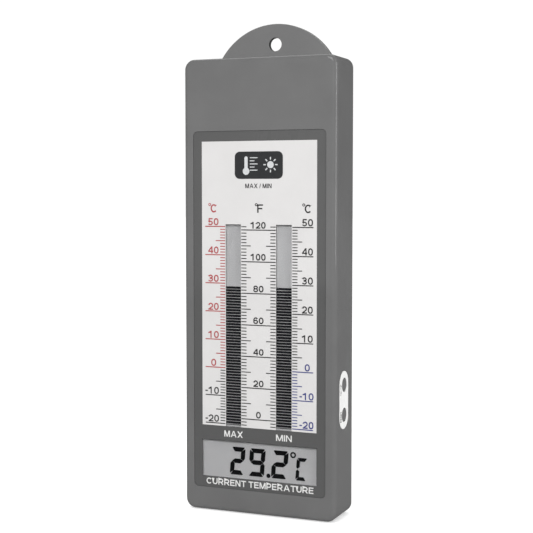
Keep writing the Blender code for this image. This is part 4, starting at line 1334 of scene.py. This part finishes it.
def add_fahrenheit(bm):
    """The scale between the bars, with full lines every twenty degrees."""
    tick = bpy.context.scene.thermo_print.tick
    edge = BAR_X - BAR_HALF - 0.15
    for fahrenheit in range(-4, 123, 2):
        z = height_of((fahrenheit - 32) / 1.8)
        if fahrenheit % 20 == 0:
            add_tick(bm, -edge, edge, z, tick * LONG_TICK)
            words = str(fahrenheit)
            half = FAHRENHEIT_LABEL_W[len(words)] / 2
            base = z + FAHRENHEIT_LIFT
            middle = THREE_FIGURE_SHIFT if len(words) == 3 else 0.0
            top = base + FAHRENHEIT_LABEL_H
            add_face_words(bm, words, middle - half, middle + half, base, top, NUMBER_STROKE)
            continue
        inner = FAHRENHEIT_REACH[10 if fahrenheit % 10 == 0 else 2]
        for side in (-1, 1):
            add_tick(bm, side * edge, side * inner, z, tick)


class THERMO_OT_scales(bpy.types.Operator):
    """Prints the Celsius and Fahrenheit scales, their numbers and the plain legends"""

    bl_idname = "thermo.scales"
    bl_label = "Scales and Legends"

    def execute(self, context):
        look = context.scene.thermo_print
        black, red, blue, white = bmesh.new(), bmesh.new(), bmesh.new(), bmesh.new()
        add_celsius_side(-1, lambda celsius: red if celsius >= 0 else black)
        add_celsius_side(1, lambda celsius: blue if celsius <= 0 else black)
        add_fahrenheit(black)
        for bm, (letter, left, right) in zip((red, black, black), UNITS):
            add_face_words(bm, letter, left, right, *UNIT_Z, UNIT_STROKE)
            add_printed(bm, glyph_ring(left + UNIT_RING[0], *UNIT_RING[1:]))
        for words, left, right in BAR_LEGENDS:
            add_face_words(white, words, left, right, *BAR_LEGEND_Z, LEGEND_STROKE)
        add_face_words(white, *CAPTION, *CAPTION_Z, LEGEND_STROKE)
        ink_piece("scale_marks_black", black, shared("ink_black", printing_ink, tuple(look.black)))
        ink_piece("scale_marks_red", red, shared("ink_red", printing_ink, tuple(look.red)))
        ink_piece("scale_marks_blue", blue, shared("ink_blue", printing_ink, tuple(look.blue)))
        white_ink = shared("ink_white", printing_ink, (0.74, 0.74, 0.73))
        ink_piece("legends_white", white, white_ink)
        return {"FINISHED"}


class THERMO_OT_badge(bpy.types.Operator):
    """Prints a plain dark panel with a thermometer and a sun, and a generic legend under it"""

    bl_idname = "thermo.badge"
    bl_label = "Badge"

    def execute(self, context):
        look = context.scene.thermo_print
        middle, half_w, half_h, corner = 59.7, 12.6, 6.6, 2.6
        ground, symbol, legend = bmesh.new(), bmesh.new(), bmesh.new()
        outer = rounded(-half_w, half_w, middle - half_h, middle + half_h, corner, 10)
        add_prism(ground, outer, SHEET_Y[0] - PRINT_PROUD, SHEET_Y[0] - 0.01)

        def add_symbol(outline):
            add_prism(symbol, outline, SHEET_Y[0] - 2 * PRINT_PROUD, SHEET_Y[0] - PRINT_PROUD - 0.005)

        bulb, stem_top = (-6.6, middle - 2.9), middle + 4.3
        stem_r, bulb_r = 0.85, 1.75
        join = math.degrees(math.asin(stem_r / bulb_r))
        round_bulb = arc(*bulb, bulb_r, 90 + join, 450 - join, 30)
        add_symbol(round_bulb + arc(bulb[0], stem_top - stem_r, stem_r, 0, 180, 10))
        for i in range(5):
            wide = 4.0 if i % 2 == 0 else 2.4
            z = middle + 3.6 - 1.5 * i
            add_symbol(rectangle(bulb[0] + 2.0, bulb[0] + 2.0 + wide, z - 0.22, z + 0.22))
        sun = (6.2, middle + 0.2)
        add_symbol(circle(*sun, 1.7, 40))
        ray = [(2.4, -0.28), (3.7, -0.28), (3.7, 0.28), (2.4, 0.28)]
        for i in range(8):
            turn = math.radians(45 * i)
            ahead, aside = math.cos(turn), math.sin(turn)
            add_symbol([(sun[0] + a * ahead - b * aside, sun[1] + a * aside + b * ahead) for a, b in ray])
        add_face_words(legend, "MAX / MIN", -6.9, 6.9, 48.6, 50.8, 0.36)
        ink_piece("badge_ground", ground, shared("ink_badge", printing_ink, (0.025, 0.026, 0.028)))
        ink_piece("badge_symbol", symbol, shared("ink_silver", printing_ink, (0.62, 0.63, 0.64)))
        ink_piece("badge_legend", legend, shared("ink_black", printing_ink, tuple(look.black)))
        return {"FINISHED"}


# ---------------------------------------------------------------- display

SEGMENTS = {"2": "abged", "9": "abcdfg", "0": "abcdef", "1": "bc", "3": "abgcd", "4": "fgbc", "5": "afgcd",
            "6": "afgedc", "7": "abc", "8": "abcdefg", "C": "afed"}
FIGURES = ((-16.05, 7.6), (-6.1, 8.4), (5.95, 8.4))  # left side and width of each figure
DIGIT_BASE, DIGIT_H, DIGIT_STROKE = -92.85, 13.9, 2.3
POINT = (4.75, 0.95, 1.1)  # across, height over the base and radius
CELSIUS_SIGN = (18.8, 5.65, 11.2, 1.8)  # left side, width, height and stroke of the C
DEGREE_SIGN = (17.7, 12.3, 1.52, 0.78)  # across, height over the base, radius and stroke
SLIT = 0.26  # between two steps of a bar
BAR_LAP = 0.6  # how far the bars run on under the plate at each side
SEGMENT_Y, SEGMENT_T = GLASS_Y[0] - 0.05, 0.03


def add_segment_shape(bm, outline):
    add_prism(bm, outline, SEGMENT_Y, SEGMENT_Y + SEGMENT_T)


def add_digit(bm, figure, x, base, width, height, stroke, slant):
    """One seven-segment figure, leaning to the right, with mitred and rounded segment ends."""
    gap, mid = 0.16, height / 2
    cut = stroke * 0.5
    x0, x1, z0, z1 = 0.0, width, 0.0, height

    def lean(points):
        return [(x + a + math.tan(slant) * b, base + b) for a, b in points]

    def across(low, high, inner):
        """A level segment between two heights: its outer edge is long, its inner edge short."""
        reach = stroke * 0.82
        long_edge, short_edge = (low, high) if inner > 0 else (high, low)
        soft = stroke * 0.3
        sign = 1 if inner > 0 else -1
        return [(x0 + gap + soft + cut * 0.2, long_edge), (x1 - gap - soft - cut * 0.2, long_edge),
                (x1 - gap - soft * 0.4, long_edge + sign * soft * 0.35), (x1 - reach - gap * 0.2, short_edge),
                (x0 + reach + gap * 0.2, short_edge), (x0 + gap + soft * 0.4, long_edge + sign * soft * 0.35)]

    half = stroke / 2
    left_in, right_in = x0 + stroke + gap * 0.2, x1 - stroke - gap * 0.2
    middle = [(x0 + gap + half * 0.55, mid), (left_in, mid - half), (right_in, mid - half),
              (x1 - gap - half * 0.55, mid), (right_in, mid + half), (left_in, mid + half)]

    def upright(left, low_half):
        """An upright segment from the figure's foot or head to its middle."""
        outer = x0 if left else x1
        inner = x0 + stroke if left else x1 - stroke
        soft = stroke * 0.3 * (1 if left else -1)
        end, up = (z0, 1) if low_half else (z1, -1)
        return [
            (outer, end + up * stroke * 0.55), (outer + soft * 0.3, end + up * (stroke * 0.25 + gap)),
            (inner, end + up * (stroke + gap)), (inner, mid - up * (half + gap)),
            (outer + soft * 1.3, mid - up * gap * 0.8), (outer, mid - up * (half + gap * 0.3)),
        ]

    shapes = {
        "a": across(z1 - stroke, z1, -1), "d": across(z0, z0 + stroke, 1), "g": middle,
        "f": upright(True, False), "e": upright(True, True),
        "b": upright(False, False), "c": upright(False, True),
    }
    for letter in SEGMENTS[figure]:
        add_segment_shape(bm, lean(shapes[letter]))


class THERMO_OT_display(bpy.types.Operator):
    """Lays the lit segments on the cell: both bars, the digits, the point and the unit"""

    bl_idname = "thermo.display"
    bl_label = "Display"

    def execute(self, context):
        look = context.scene.thermo_display
        lit = shared("lit_segment", printing_ink, tuple(look.segment), shine=0.03)
        bars = shared("lit_bar", printing_ink, tuple(c * 3.0 for c in look.segment), shine=0.2)
        readings = {-1: ("bar_segments_max", MAX_READING), 1: ("bar_segments_min", MIN_READING)}
        for side, (name, reading) in readings.items():
            bm = bmesh.new()
            x = side * BAR_X
            left, right = x - BAR_HALF - BAR_LAP, x + BAR_HALF + BAR_LAP
            for celsius in range(LOWEST_DEGREE, reading):
                low, high = height_of(celsius) + SLIT / 2, height_of(celsius + 1) - SLIT / 2
                add_segment_shape(bm, rectangle(left, right, low, high))
            foot = height_of(LOWEST_DEGREE)
            add_segment_shape(bm, rectangle(left, right, foot - 0.5, foot - SLIT / 2))
            place(new_object(name, bm), bars, "case")

        bm = bmesh.new()
        for figure, (start, wide) in zip(look.reading.replace(".", ""), FIGURES):
            add_digit(bm, figure, start, DIGIT_BASE, wide, DIGIT_H, DIGIT_STROKE, look.slant)
        across, rise, radius = POINT
        add_segment_shape(bm, circle(across, DIGIT_BASE + rise, radius, 24))
        start, wide, tall, stroke = CELSIUS_SIGN
        add_digit(bm, "C", start, DIGIT_BASE, wide, tall, stroke, look.slant)
        across, rise, radius, stroke = DEGREE_SIGN
        add_printed(bm, glyph_ring(across, DIGIT_BASE + rise, radius, stroke), SEGMENT_Y)
        place(new_object("digit_segments", bm), lit, "case")

        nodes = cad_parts
        give_material(nodes["lcd_glass"], shared("cell_film", polariser, tuple(look.background)))
        give_material(nodes["display_lens"], shared("lens_acrylic", clear_lens))
        return {"FINISHED"}


# ---------------------------------------------------------------- controls


def button_profile():
    """A button from its flange at the back to a slightly dished face, as (radius, height) points."""
    edge, dish, flange_r, bevel = 0.45, 0.12, 4.6, 0.2
    low, high = BUTTON_X
    top = low + 1.0
    flange = [
        (flange_r - bevel, low), (flange_r, low + bevel), (flange_r, top - bevel), (flange_r - bevel, top),
    ]
    face = fillet(edge, 0, 90, (BUTTON_R - edge, high - edge), 8)
    dished = [(BUTTON_R - 1.0, high - dish * 0.35), (BUTTON_R - 2.0, high - dish * 0.8), (0.0, high - dish)]
    return [*flange, (BUTTON_R, top), *face, *dished]


LABEL_SHEET_W, LABEL_SHEET_H, LABEL_FORWARD, LABEL_EASE = 12.5, 28.4, 0.35, 0.1
SIDE_LEGENDS = (("°C/°F", 2.0), ("RESET", 0.4))  # each with how far it sits under its button's middle
SIDE_LEGEND_INSET, SIDE_LEGEND_H, SIDE_LEGEND_HALF, SIDE_LEGEND_STROKE = 1.25, 1.4, 2.7, 0.28


class THERMO_OT_controls(bpy.types.Operator):
    """Builds both push buttons and the white label round them, with its plain legends"""

    bl_idname = "thermo.controls"
    bl_label = "Buttons and Label"

    def execute(self, context):
        case = context.scene.thermo_case
        paler = tuple(c * BUTTON_TINT for c in case.color)
        cap = shared("button_plastic", moulded_plastic, paler, 0.45, grain=3400.0)
        for where, (low, high) in SIDE_BUTTONS.items():
            bm = bmesh.new()
            add_turned(bm, button_profile(), (0, BUTTON_Y, (low + high) / 2), "X", 56)
            button = new_object(f"push_button_{where}", bm)
            place(button, cap, f"{where}_button", (f"button_{where}",))

        middle = sum(LABEL_Z) / 2
        ease = LABEL_EASE
        rings = [(stadium(BUTTON_Y - LABEL_FORWARD, middle, LABEL_SHEET_W - 2 * g, LABEL_SHEET_H - 2 * g), x)
                 for g, x in ((0.0, LABEL_X[0]), (0.0, LABEL_X[1] - ease), (ease, LABEL_X[1]))]
        bm = bmesh.new()
        add_loft(bm, rings, "X")
        label = new_object("button_label_sheet", bm)
        holes = bmesh.new()
        for low, high in SIDE_BUTTONS.values():
            add_prism(holes, circle(BUTTON_Y, (low + high) / 2, BUTTON_R + GAP, 56), *BUTTON_HOLE_X, "X")
        combine(label, holes, "DIFFERENCE")
        white = shared("label_white", printed_sheet, (0.95, 0.95, 0.94), 0.4, skin=0.3)
        place(label, white, "case", ("button_label",))

        legends = bmesh.new()
        front = LABEL_Y[0] + SIDE_LEGEND_INSET
        for (words, drop), (low, high) in zip(SIDE_LEGENDS, SIDE_BUTTONS.values()):
            centre = (low + high) / 2 - drop
            foot, head = centre - SIDE_LEGEND_HALF, centre + SIDE_LEGEND_HALF
            add_side_words(legends, words, front + SIDE_LEGEND_H, front, foot, head, SIDE_LEGEND_STROKE)
        ink_piece("label_legends", legends, shared("ink_grey", printing_ink, (0.05, 0.05, 0.05)))
        return {"FINISHED"}


# ---------------------------------------------------------------- inside


def give_material(item, material):
    """A finished material for a CAD node that keeps its own shape."""
    item.data.materials.clear()
    item.data.materials.append(material)


class THERMO_OT_power(bpy.types.Operator):
    """Builds the battery with its jacket and nub, and the coil that presses on it"""

    bl_idname = "thermo.power"
    bl_label = "Battery and Contacts"

    def execute(self, context):
        nickel = shared("nickel_plate", plated_metal, (0.72, 0.7, 0.66), 0.25)
        r, (low, high) = CELL_X[1], CELL_Z
        axis_y = sum(CELL_Y) / 2
        shoulder = high - 1.2
        profile = [(r - 1.4, low), *fillet(0.35, -90, 0, (r - 0.35, low + 0.35), 5), (r, shoulder - 0.5)]
        profile += [*fillet(0.5, 0, 90, (r - 0.5, shoulder - 0.5), 5), (r - 1.1, shoulder)]
        bm = bmesh.new()
        add_turned(bm, profile, (0, axis_y, 0), "Z", 64)
        jacket = new_object("battery_jacket", bm)
        wrap = shared("jacket_print", battery_jacket, (0.03, 0.05, 0.11), (0.5, 0.33, 0.12))
        place(jacket, wrap, "case", ("battery",))
        bm = bmesh.new()
        profile = [(r - 1.3, shoulder + 0.05), (r - 1.6, shoulder + 0.15), (2.2, shoulder + 0.15)]
        profile += [(1.95, shoulder + 0.25), (1.9, high - 0.3), (1.6, high), (0.0, high)]
        add_turned(bm, profile, (0, axis_y, 0), "Z", 48)
        place(new_object("battery_nub", bm), nickel, "case")

        wire_r = 0.35
        curve = bpy.data.curves.new("contact_coil", "CURVE")
        curve.dimensions = "3D"
        curve.bevel_depth = wire_r * MM
        curve.bevel_resolution = 4
        curve.use_fill_caps = True
        turns, steps, wide, narrow = 3.0, 40, 4.0, 2.4
        count = int(turns * steps)
        spline = curve.splines.new("POLY")
        spline.points.add(count)
        bottom, top = SPRING_Z[0] + wire_r, SPRING_Z[1] - wire_r
        for i, point in enumerate(spline.points):
            share, angle = i / count, 2 * math.pi * i / steps
            radius = wide + (narrow - wide) * share
            height = bottom + (top - bottom) * share
            at = Vector((radius * math.cos(angle), axis_y + radius * math.sin(angle), height))
            point.co = (*(at * MM), 1.0)
        coil = bpy.data.objects.new("contact_coil", curve)
        context.scene.collection.objects.link(coil)
        place(coil, nickel, "case", ("battery_spring",))
        for name in ("battery_plate_plus", "battery_plate_minus", "clock_crystal"):
            give_material(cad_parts[name], nickel)
        return {"FINISHED"}


class THERMO_OT_inside(bpy.types.Operator):
    """Gives the board, its components, the frame, strips, switches and wires their finishes"""

    bl_idname = "thermo.inside"
    bl_label = "Inside"

    def execute(self, context):
        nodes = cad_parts
        board = shared("solder_mask", circuit_board, (0.02, 0.13, 0.05))
        resin = shared("black_epoxy", moulded_plastic, (0.014, 0.014, 0.014), 0.28, grain=1800.0)
        frame_white = shared("frame_moulding", moulded_plastic, (0.66, 0.66, 0.62), 0.5)
        strip = shared("contact_strip", layered_rubber, (0.03, 0.03, 0.03), (0.55, 0.34, 0.33))
        sleeve = shared("capacitor_film", printed_sheet, (0.03, 0.05, 0.16), 0.3)
        bead = shared("sensor_epoxy", moulded_plastic, (0.42, 0.22, 0.05), 0.35, grain=1500.0)
        red_wire = shared("red_pvc", moulded_plastic, (0.45, 0.02, 0.02), 0.4)
        black_wire = shared("black_pvc", moulded_plastic, (0.015, 0.015, 0.015), 0.4)
        steel = shared("zinc_steel", plated_metal, (0.62, 0.62, 0.6), 0.32, (1.0, 1.0, 1.0))
        finishes = {
            board: ("main_board",),
            resin: ("chip_blob", "resistor_1", "resistor_2", "resistor_3", "switch_upper", "switch_lower"),
            frame_white: ("lcd_frame", "plunger_upper", "plunger_lower"),
            strip: ("zebra_strip_left", "zebra_strip_right"),
            sleeve: ("reservoir_capacitor",),
            bead: ("temperature_sensor",),
            red_wire: ("wire_plus",),
            black_wire: ("wire_minus",),
            steel: ("board_screw_1", "board_screw_2", "board_screw_3", "board_screw_4"),
        }
        for material, names in finishes.items():
            for name in names:
                give_material(nodes[name], material)
                round_off(nodes[name])
        return {"FINISHED"}


def round_off(item):
    """Joins a CAD node's split faces and shades its round faces smooth. Its own mesh keeps its shape."""
    flat = item.data.attributes.get("custom_normal")
    if flat:
        item.data.attributes.remove(flat)
    item.data.shade_smooth()
    weld = item.modifiers.new("weld", "WELD")
    weld.merge_threshold = 1e-6
    split = item.modifiers.new("crisp_edges", "EDGE_SPLIT")
    split.split_angle = math.radians(35)


# ---------------------------------------------------------------- stage


# How bright shiny surfaces see the room: far in front, everywhere else, and on the floor before and behind.
ROOM_MIRROR, SIDE_MIRROR, FLOOR_MIRROR, FLOOR_BACK_MIRROR = 0.5, 0.12, 0.04, 0.2
FLOOR_HALF_W, FLOOR_FRONT = 6.0, -1.36  # in metres
CAMERA_AT = (0.23234, -0.57086, 0.0475)


def soft_lamp(name, at, aim, size, power):
    lamp = bpy.data.lights.new(name, "AREA")
    lamp.shape = "RECTANGLE"
    lamp.size, lamp.size_y = size
    lamp.energy = power
    item = bpy.data.objects.new(name, lamp)
    item.location = at
    item.rotation_euler = (Vector(aim) - Vector(at)).to_track_quat("-Z", "Y").to_euler()
    bpy.context.scene.collection.objects.link(item)


def pale_floor():
    """A white floor that stays white to the camera, with a dark front half in what shiny surfaces mirror."""
    material, tree, shader = new_material("pale_floor")
    shader.inputs["Roughness"].default_value = 0.8
    shader.inputs["Specular IOR Level"].default_value = 0.0
    place_of = node(tree, "TexCoord", (-900, 0))
    mottle = node(tree, "TexNoise", (-650, 0), values={"Scale": 3.0, "Detail": 3.0})
    shade = node(tree, "MapRange", (-400, 0), values={1: 0.3, 2: 0.7, 3: 0.9, 4: 0.92})
    tree.links.new(place_of.outputs["Object"], mottle.inputs["Vector"])
    tree.links.new(mottle.outputs[0], shade.inputs[0])
    tree.links.new(shade.outputs[0], shader.inputs["Base Color"])
    path = node(tree, "LightPath", (-400, 500))
    lift = node(tree, "Math", (-150, 400), operation="MULTIPLY", values={1: 0.45})
    tree.links.new(path.outputs["Is Camera Ray"], lift.inputs[0])
    shader.inputs["Emission Color"].default_value = (1.0, 1.0, 1.0, 1.0)
    tree.links.new(lift.outputs[0], shader.inputs["Emission Strength"])
    split = node(tree, "SeparateXYZ", (-650, -300))
    front = node(tree, "MapRange", (-400, -300), values={
        1: -0.12, 2: -0.02, 3: FLOOR_MIRROR, 4: FLOOR_BACK_MIRROR,
    })
    mirrored = node(tree, "Emission", (-150, -300))
    tree.links.new(place_of.outputs["Object"], split.inputs[0])
    tree.links.new(split.outputs["Y"], front.inputs[0])
    tree.links.new(front.outputs[0], mirrored.inputs["Strength"])
    choose = node(tree, "MixShader", (300, 200))
    tree.links.new(path.outputs["Is Glossy Ray"], choose.inputs[0])
    tree.links.new(shader.outputs[0], choose.inputs[1])
    tree.links.new(mirrored.outputs[0], choose.inputs[2])
    tree.links.new(choose.outputs[0], tree.nodes["Material Output"].inputs["Surface"])
    return material


def white_surroundings(strength):
    """A white sky: full white behind the object, softer as a light and as a mirrored room."""
    world = bpy.data.worlds.new("studio")
    world.use_nodes = True
    tree = world.node_tree
    sky = tree.nodes["Background"]
    sky.inputs["Color"].default_value = (1.0, 1.0, 1.0, 1.0)
    path = node(tree, "LightPath", (-700, 200))
    place_of = node(tree, "TexCoord", (-1300, -100))
    split = node(tree, "SeparateXYZ", (-1100, -100))
    front = node(tree, "MapRange", (-900, -100), values={
        1: -0.955, 2: -0.85, 3: ROOM_MIRROR, 4: SIDE_MIRROR,
    })
    tree.links.new(place_of.outputs["Generated"], split.inputs[0])
    tree.links.new(split.outputs["Y"], front.inputs[0])
    mirrored = node(tree, "Mix", (-450, 100))
    mirrored.inputs["A"].default_value = strength
    tree.links.new(front.outputs[0], mirrored.inputs["B"])
    seen = node(tree, "Mix", (-250, 100))
    seen.inputs["B"].default_value = 1.02
    tree.links.new(path.outputs["Is Glossy Ray"], mirrored.inputs["Factor"])
    tree.links.new(mirrored.outputs["Result"], seen.inputs["A"])
    tree.links.new(path.outputs["Is Camera Ray"], seen.inputs["Factor"])
    tree.links.new(seen.outputs["Result"], sky.inputs["Strength"])
    return world


class THERMO_OT_stage(bpy.types.Operator):
    """Sets out the pale floor, the soft lamps, the white surroundings and the camera"""

    bl_idname = "thermo.stage"
    bl_label = "Stage"

    def execute(self, context):
        scene, look = context.scene, context.scene.thermo_stage
        half = FLOOR_HALF_W
        bm = bmesh.new()
        level = CASE_Z[0] * MM - 0.0003
        corners = ((-half, FLOOR_FRONT), (half, FLOOR_FRONT), (half, half), (-half, half))
        bm.faces.new([bm.verts.new((x, y, level)) for x, y in corners])
        floor = new_object("floor", bm)
        floor.data.materials.append(pale_floor())

        scene.world = white_surroundings(look.sky)
        soft_lamp("key_lamp", (0.0, -1.35, 1.1), (0.0, 0.0, 0.0), (0.9, 0.9), look.key)
        soft_lamp("top_lamp", (-0.1, 0.35, 0.75), (0.0, 0.0, 0.11), (0.6, 0.3), look.top)
        soft_lamp("side_lamp", (1.25, -0.33, 0.24), (0.0, 0.0, 0.1), (0.35, 0.62), look.fill)

        camera = bpy.data.cameras.new("camera")
        camera.lens = look.lens
        camera.sensor_width = 36.0
        camera.clip_start = 0.01
        item = bpy.data.objects.new("camera", camera)
        item.location = CAMERA_AT
        item.rotation_euler = (math.pi / 2 - look.tilt, 0.0, look.turn)
        scene.collection.objects.link(item)
        scene.camera = item
        scene.view_settings.view_transform = "Standard"
        return {"FINISHED"}


# ---------------------------------------------------------------- add-on

STEPS = (
    "stage", "front_case", "rear_cover", "battery_lid", "screws", "printed_sheets", "scales", "badge",
    "display", "controls", "power", "inside",
)


class THERMO_PT_panel(bpy.types.Panel):
    """Lists the steps that build the thermometer"""

    bl_idname = "THERMO_PT_panel"
    bl_label = "Thermometer"
    bl_space_type = "VIEW_3D"
    bl_region_type = "UI"
    bl_category = "Thermometer"

    def draw(self, context):
        for group in ("thermo_case", "thermo_print", "thermo_display", "thermo_stage"):
            box = self.layout.box()
            values = getattr(context.scene, group)
            for name in values.bl_rna.properties.keys():
                if name not in ("rna_type", "name"):
                    box.prop(values, name)
        for step in STEPS:
            self.layout.operator(f"thermo.{step}")


GROUPS = {
    "thermo_case": THERMO_PG_case, "thermo_print": THERMO_PG_print,
    "thermo_display": THERMO_PG_display, "thermo_stage": THERMO_PG_stage,
}
CLASSES = (
    *GROUPS.values(), THERMO_OT_stage, THERMO_OT_front_case, THERMO_OT_rear_cover, THERMO_OT_battery_lid,
    THERMO_OT_screws, THERMO_OT_printed_sheets, THERMO_OT_scales, THERMO_OT_badge, THERMO_OT_display,
    THERMO_OT_controls, THERMO_OT_power, THERMO_OT_inside, THERMO_PT_panel,
)


def register():
    for item in CLASSES:
        bpy.utils.register_class(item)
    for name, group in GROUPS.items():
        setattr(bpy.types.Scene, name, PointerProperty(type=group))


def unregister():
    for name in GROUPS:
        delattr(bpy.types.Scene, name)
    for item in reversed(CLASSES):
        bpy.utils.unregister_class(item)


def main():
    register()
    for step in STEPS:
        getattr(bpy.ops.thermo, step)()


if __name__ == "__main__":
    main()
